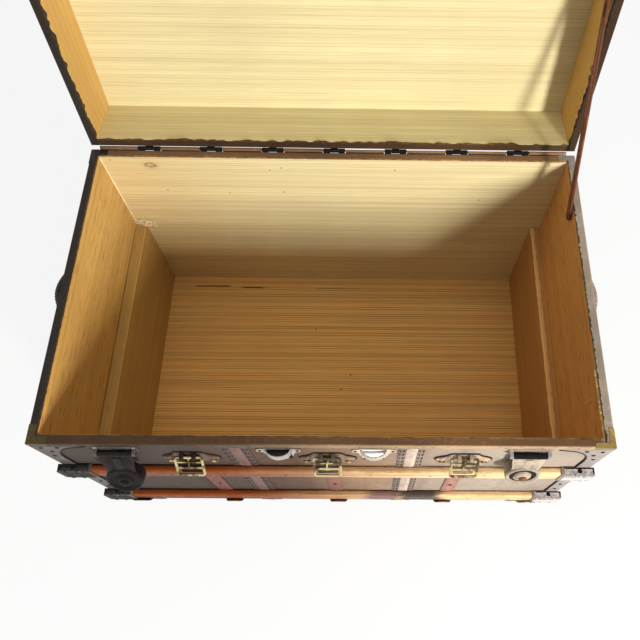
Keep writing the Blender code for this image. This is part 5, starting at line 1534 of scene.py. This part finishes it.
class TRUNK_OT_hinge(Operator):
    """Finishes the strip hinge and the lid stay"""
    bl_idname = "trunk.hinge"
    bl_label = "Hinge and stay"

    def execute(self, context):
        look = finishes(context)
        sizes = context.scene.trunk_sizes
        for node in ("body_hinge_strip", "lid_hinge_strip"):
            eased(node, look("black_iron"), "dark_steel", 0.0002)
        for node in ("stay_bar", "lid_stay_stud"):
            eased(node, look("rust"), "rusty_steel", sizes.eased_edge)
        make_piece("hinge_roll", self.roll(), look("binding"), "trunk", "dark_steel")
        low, high = open_box("body_hinge_strip")
        x = np.linspace(low[0] + 0.014, high[0] - 0.014, 26)
        y = HALF_Y + RIM_OUT + CLEAR + 0.0015
        levels = {"trunk": low[2] + 0.0105, "lid": closed_box("lid_hinge_strip")[1][2] - 0.0105}
        for name, body in (("hinge_nails", "trunk"), ("lid_hinge_nails", "lid")):
            heads = rivets(xyz(x, y, levels[body] + zigzag(26)), Y, sizes.nail)
            make_piece(name, [heads], look("steel"), body, "dark_steel")
        return {'FINISHED'}

    def roll(self):
        """A round section carried along the hinge line between the knuckles, on a web that runs down to
        the strip on the box; it is thicker in the left half and at both ends."""
        shut = turned(node_points("lid_hinge_strip"), LID_OPEN, HINGE)
        points = np.concatenate([node_points("body_hinge_strip"), shut])
        x = np.unique(points[points[:, 1] > HINGE[1] + 0.001, 0].round(4))
        x = np.concatenate([[0.014 - HALF_X], x, [HALF_X - 0.014]])
        gaps = np.flatnonzero(np.diff(x) > 0.03)
        web = HALF_Y + RIM_OUT + CLEAR + 0.0021
        section = rounded(0.0064, 0.0010, 0.0004, 2, 1)[0]
        parts = []
        for start, end in zip(x[gaps] + CLEAR, x[gaps + 1] - CLEAR):
            path = np.linspace(start, end, 12)[:, None] * X
            thick = not 0.0 <= (start + end) / 2 < 0.38
            parts.append(sweep(path + HINGE * (0, 1, 1), Y, ring_section(0.0034 if thick else 0.0021)))
            parts.append(sweep(path + web * Y + (HINGE[2] - 0.0046) * Z, Z, section))
        return parts


class TRUNK_OT_nails(Operator):
    """Drives the nails in the slats, the rims and the lining"""
    bl_idname = "trunk.nails"
    bl_label = "Nails"

    def execute(self, context):
        look = finishes(context)
        radius = context.scene.trunk_sizes.nail
        sway = zigzag(len(SLAT_NAIL_X))
        body_heads, lid_heads, rim_heads = [], [], []
        for side, face in ((-1, "front"), (1, "back")):
            for level in LEVELS:
                low, high = open_box(f"{face}_{level}_slat")
                out = side * max(abs(low[1]), abs(high[1]))
                spots = xyz(SLAT_NAIL_X, out, (low[2] + high[2]) / 2 + sway)
                body_heads.append(rivets(spots, side * Y, radius, 0.0006))
        for face in ("front", "rear"):
            low, high = closed_box(f"lid_{face}_slat")
            spots = xyz(SLAT_NAIL_X, (low[1] + high[1]) / 2 + sway, high[2])
            lid_heads.append(rivets(spots, Z, radius, 0.0006))
        back = xyz(BACK_NAILS[:, 0], INNER_Y, BACK_NAILS[:, 1])
        floor = xyz(FLOOR_SPECKS[:, 0], FLOOR_SPECKS[:, 1], FLOOR_Z)
        lining_heads = [rivets(back, -Y, 0.0014, 0.0003), rivets(floor, Z, 0.0017, 0.0003)]
        along = np.linspace(-0.40, 0.40, 15)
        along = along[np.abs(along[:, None] - BUCKLE_X).min(1) > CATCH_CLEAR]
        leg = RIM_Z - 0.5 * RIM_LEG
        for side in (-1, 1):
            spots = xyz(along, side * (HALF_Y + RIM_OUT), leg)
            rim_heads.append(rivets(spots, side * Y, 0.0015, 0.0005))
            spots = xyz(side * (HALF_X + RIM_OUT), np.linspace(-0.23, 0.23, 9), leg)
            rim_heads.append(rivets(spots, side * X, 0.0015, 0.0005))
        make_piece("slat_nails", body_heads, look("iron"), "trunk", "dark_steel")
        make_piece("lid_slat_nails", lid_heads, look("iron"), "lid", "dark_steel")
        make_piece("lining_nails", lining_heads, look("black_iron"), "trunk", "dark_steel")
        make_piece("rim_nails", rim_heads, look("iron"), "trunk", "dark_steel")
        return {'FINISHED'}


class TRUNK_OT_stage(Operator):
    """Sets the floor, the lamps, the sky and the camera"""
    bl_idname = "trunk.stage"
    bl_label = "Stage"

    def execute(self, context):
        self.floor()
        self.sky(context.scene)
        for lamp in LAMPS:
            self.lamp(*lamp)
        self.camera(context.scene)
        context.scene.view_settings.view_transform = 'Standard'
        return {'FINISHED'}

    def floor(self):
        """A flat square under the trunk, pale, and nearly white to the camera."""
        x, y = np.meshgrid(np.linspace(-9, 9, 3), np.linspace(-9, 9, 3), indexing="ij")
        part = patch(xyz(x, y, 0.0))
        mesh = bpy.data.meshes.new("studio_floor")
        mesh.from_pydata(part.points, [], part.quads[:, ::-1].tolist())
        n = Nodes("studio_floor")
        grain = n.noise(n.place(), 1.2, 2.0)
        shown = self.seen(n)
        matt = n.add("BsdfDiffuse", {"Color": n.mix(grain, (0.80, 0.80, 0.79), (0.82, 0.82, 0.82))})
        glow = n.add("Emission", {"Color": (1.0, 1.0, 1.0), "Strength": 1.0})
        share = n.math('MULTIPLY', shown, 0.88)
        blend = n.add("MixShader", {0: share, 1: matt.outputs[0], 2: glow.outputs[0]})
        n.feed(n.tree.nodes["Material Output"].inputs["Surface"], blend.outputs[0])
        n.tree.nodes.remove(n.shader)
        mesh.materials.append(n.material)
        floor = bpy.data.objects.new("studio_floor", mesh)
        bpy.context.scene.collection.objects.link(floor)

    def seen(self, nodes):
        """One for rays from the camera, and for those that metal and glass pass on."""
        path = nodes.add("LightPath", {}).outputs
        total = nodes.math('ADD', path["Is Camera Ray"], path["Is Glossy Ray"])
        return nodes.math('MINIMUM', nodes.math('ADD', total, path["Is Transmission Ray"]), 1.0)

    def sky(self, scene):
        """A soft even light on the trunk, white to the camera."""
        world = bpy.data.worlds.new("studio_sky")
        scene.world = world
        world.use_nodes = True
        n = Nodes.__new__(Nodes)
        n.tree = world.node_tree
        n.tree.nodes.clear()
        soft = n.add("Background", {"Color": (1.0, 0.985, 0.965), "Strength": 0.25})
        white = n.add("Background", {"Color": (1.0, 1.0, 1.0), "Strength": 1.0})
        blend = n.add("MixShader", {0: self.seen(n), 1: soft.outputs[0], 2: white.outputs[0]})
        n.add("OutputWorld", {"Surface": blend.outputs[0]})

    def lamp(self, name, place, aim, size, power, colour):
        """A soft rectangular lamp that faces a point."""
        data = bpy.data.lights.new(name, 'AREA')
        data.shape = 'RECTANGLE'
        data.size, data.size_y = size
        data.energy, data.color = power, colour
        lamp = bpy.data.objects.new(name, data)
        back = unit(np.array(place) - np.array(aim))
        right = unit(np.cross(Z if abs(back[2]) < 0.99 else Y, back))
        lamp.matrix_world = self.pose(place, right, np.cross(back, right), back)
        lamp.visible_camera = lamp.visible_glossy = False
        bpy.context.scene.collection.objects.link(lamp)

    def pose(self, place, right, up, back):
        """A matrix from three axes and a place."""
        matrix = np.eye(4)
        matrix[:3, :3] = np.stack([right, up, back], -1)
        matrix[:3, 3] = place
        return Matrix(matrix.tolist())

    def camera(self, scene):
        """The photograph's camera, from its place, its three angles, focal length and middle."""
        data = bpy.data.cameras.new("photo_camera")
        data.sensor_width = SENSOR
        data.lens = CAMERA_FOCAL * SENSOR / PHOTO_SIDE
        data.shift_x = (PHOTO_SIDE / 2 - CAMERA_MIDDLE) / PHOTO_SIDE
        data.dof.use_dof = False
        level = math.cos(CAMERA_DOWN)
        ahead = np.array([math.sin(CAMERA_ROUND) * level, math.cos(CAMERA_ROUND) * level,
                          -math.sin(CAMERA_DOWN)])
        right = unit(np.cross(ahead, Z))
        up = np.cross(right, ahead)
        cosine, sine = math.cos(CAMERA_ROLL), math.sin(CAMERA_ROLL)
        camera = bpy.data.objects.new("photo_camera", data)
        camera.matrix_world = self.pose(CAMERA_PLACE, cosine * right + sine * up,
                                        cosine * up - sine * right, -ahead)
        scene.collection.objects.link(camera)
        scene.camera = camera


OPERATORS = (
    TRUNK_OT_pine_boards, TRUNK_OT_canvas, TRUNK_OT_bindings, TRUNK_OT_slats, TRUNK_OT_bands,
    TRUNK_OT_straps, TRUNK_OT_corner_irons, TRUNK_OT_handles, TRUNK_OT_buckles, TRUNK_OT_hasps,
    TRUNK_OT_sockets, TRUNK_OT_hinge, TRUNK_OT_nails, TRUNK_OT_stage,
)


class TRUNK_PT_dressing(Panel):
    """Lists the trunk's sizes, colours and steps"""
    bl_label = "Trunk"
    bl_idname = "TRUNK_PT_dressing"
    bl_space_type = 'VIEW_3D'
    bl_region_type = 'UI'
    bl_category = "Trunk"

    def draw(self, context):
        for group in (context.scene.trunk_sizes, context.scene.trunk_colours):
            for key in group.__annotations__:
                self.layout.prop(group, key)
        for step in OPERATORS:
            self.layout.operator(step.bl_idname)


CLASSES = (TrunkSizes, TrunkColours, *OPERATORS, TRUNK_PT_dressing)


def register():
    """Registers the classes and hangs the sizes and colours on the scene."""
    for item in CLASSES:
        bpy.utils.register_class(item)
    bpy.types.Scene.trunk_sizes = PointerProperty(type=TrunkSizes)
    bpy.types.Scene.trunk_colours = PointerProperty(type=TrunkColours)


def unregister():
    """Takes off what register put on."""
    del bpy.types.Scene.trunk_colours
    del bpy.types.Scene.trunk_sizes
    for item in reversed(CLASSES):
        bpy.utils.unregister_class(item)


def main():
    """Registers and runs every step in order."""
    register()
    for step in OPERATORS:
        group, name = step.bl_idname.split(".")
        getattr(getattr(bpy.ops, group), name)()


if __name__ == "__main__":
    main()
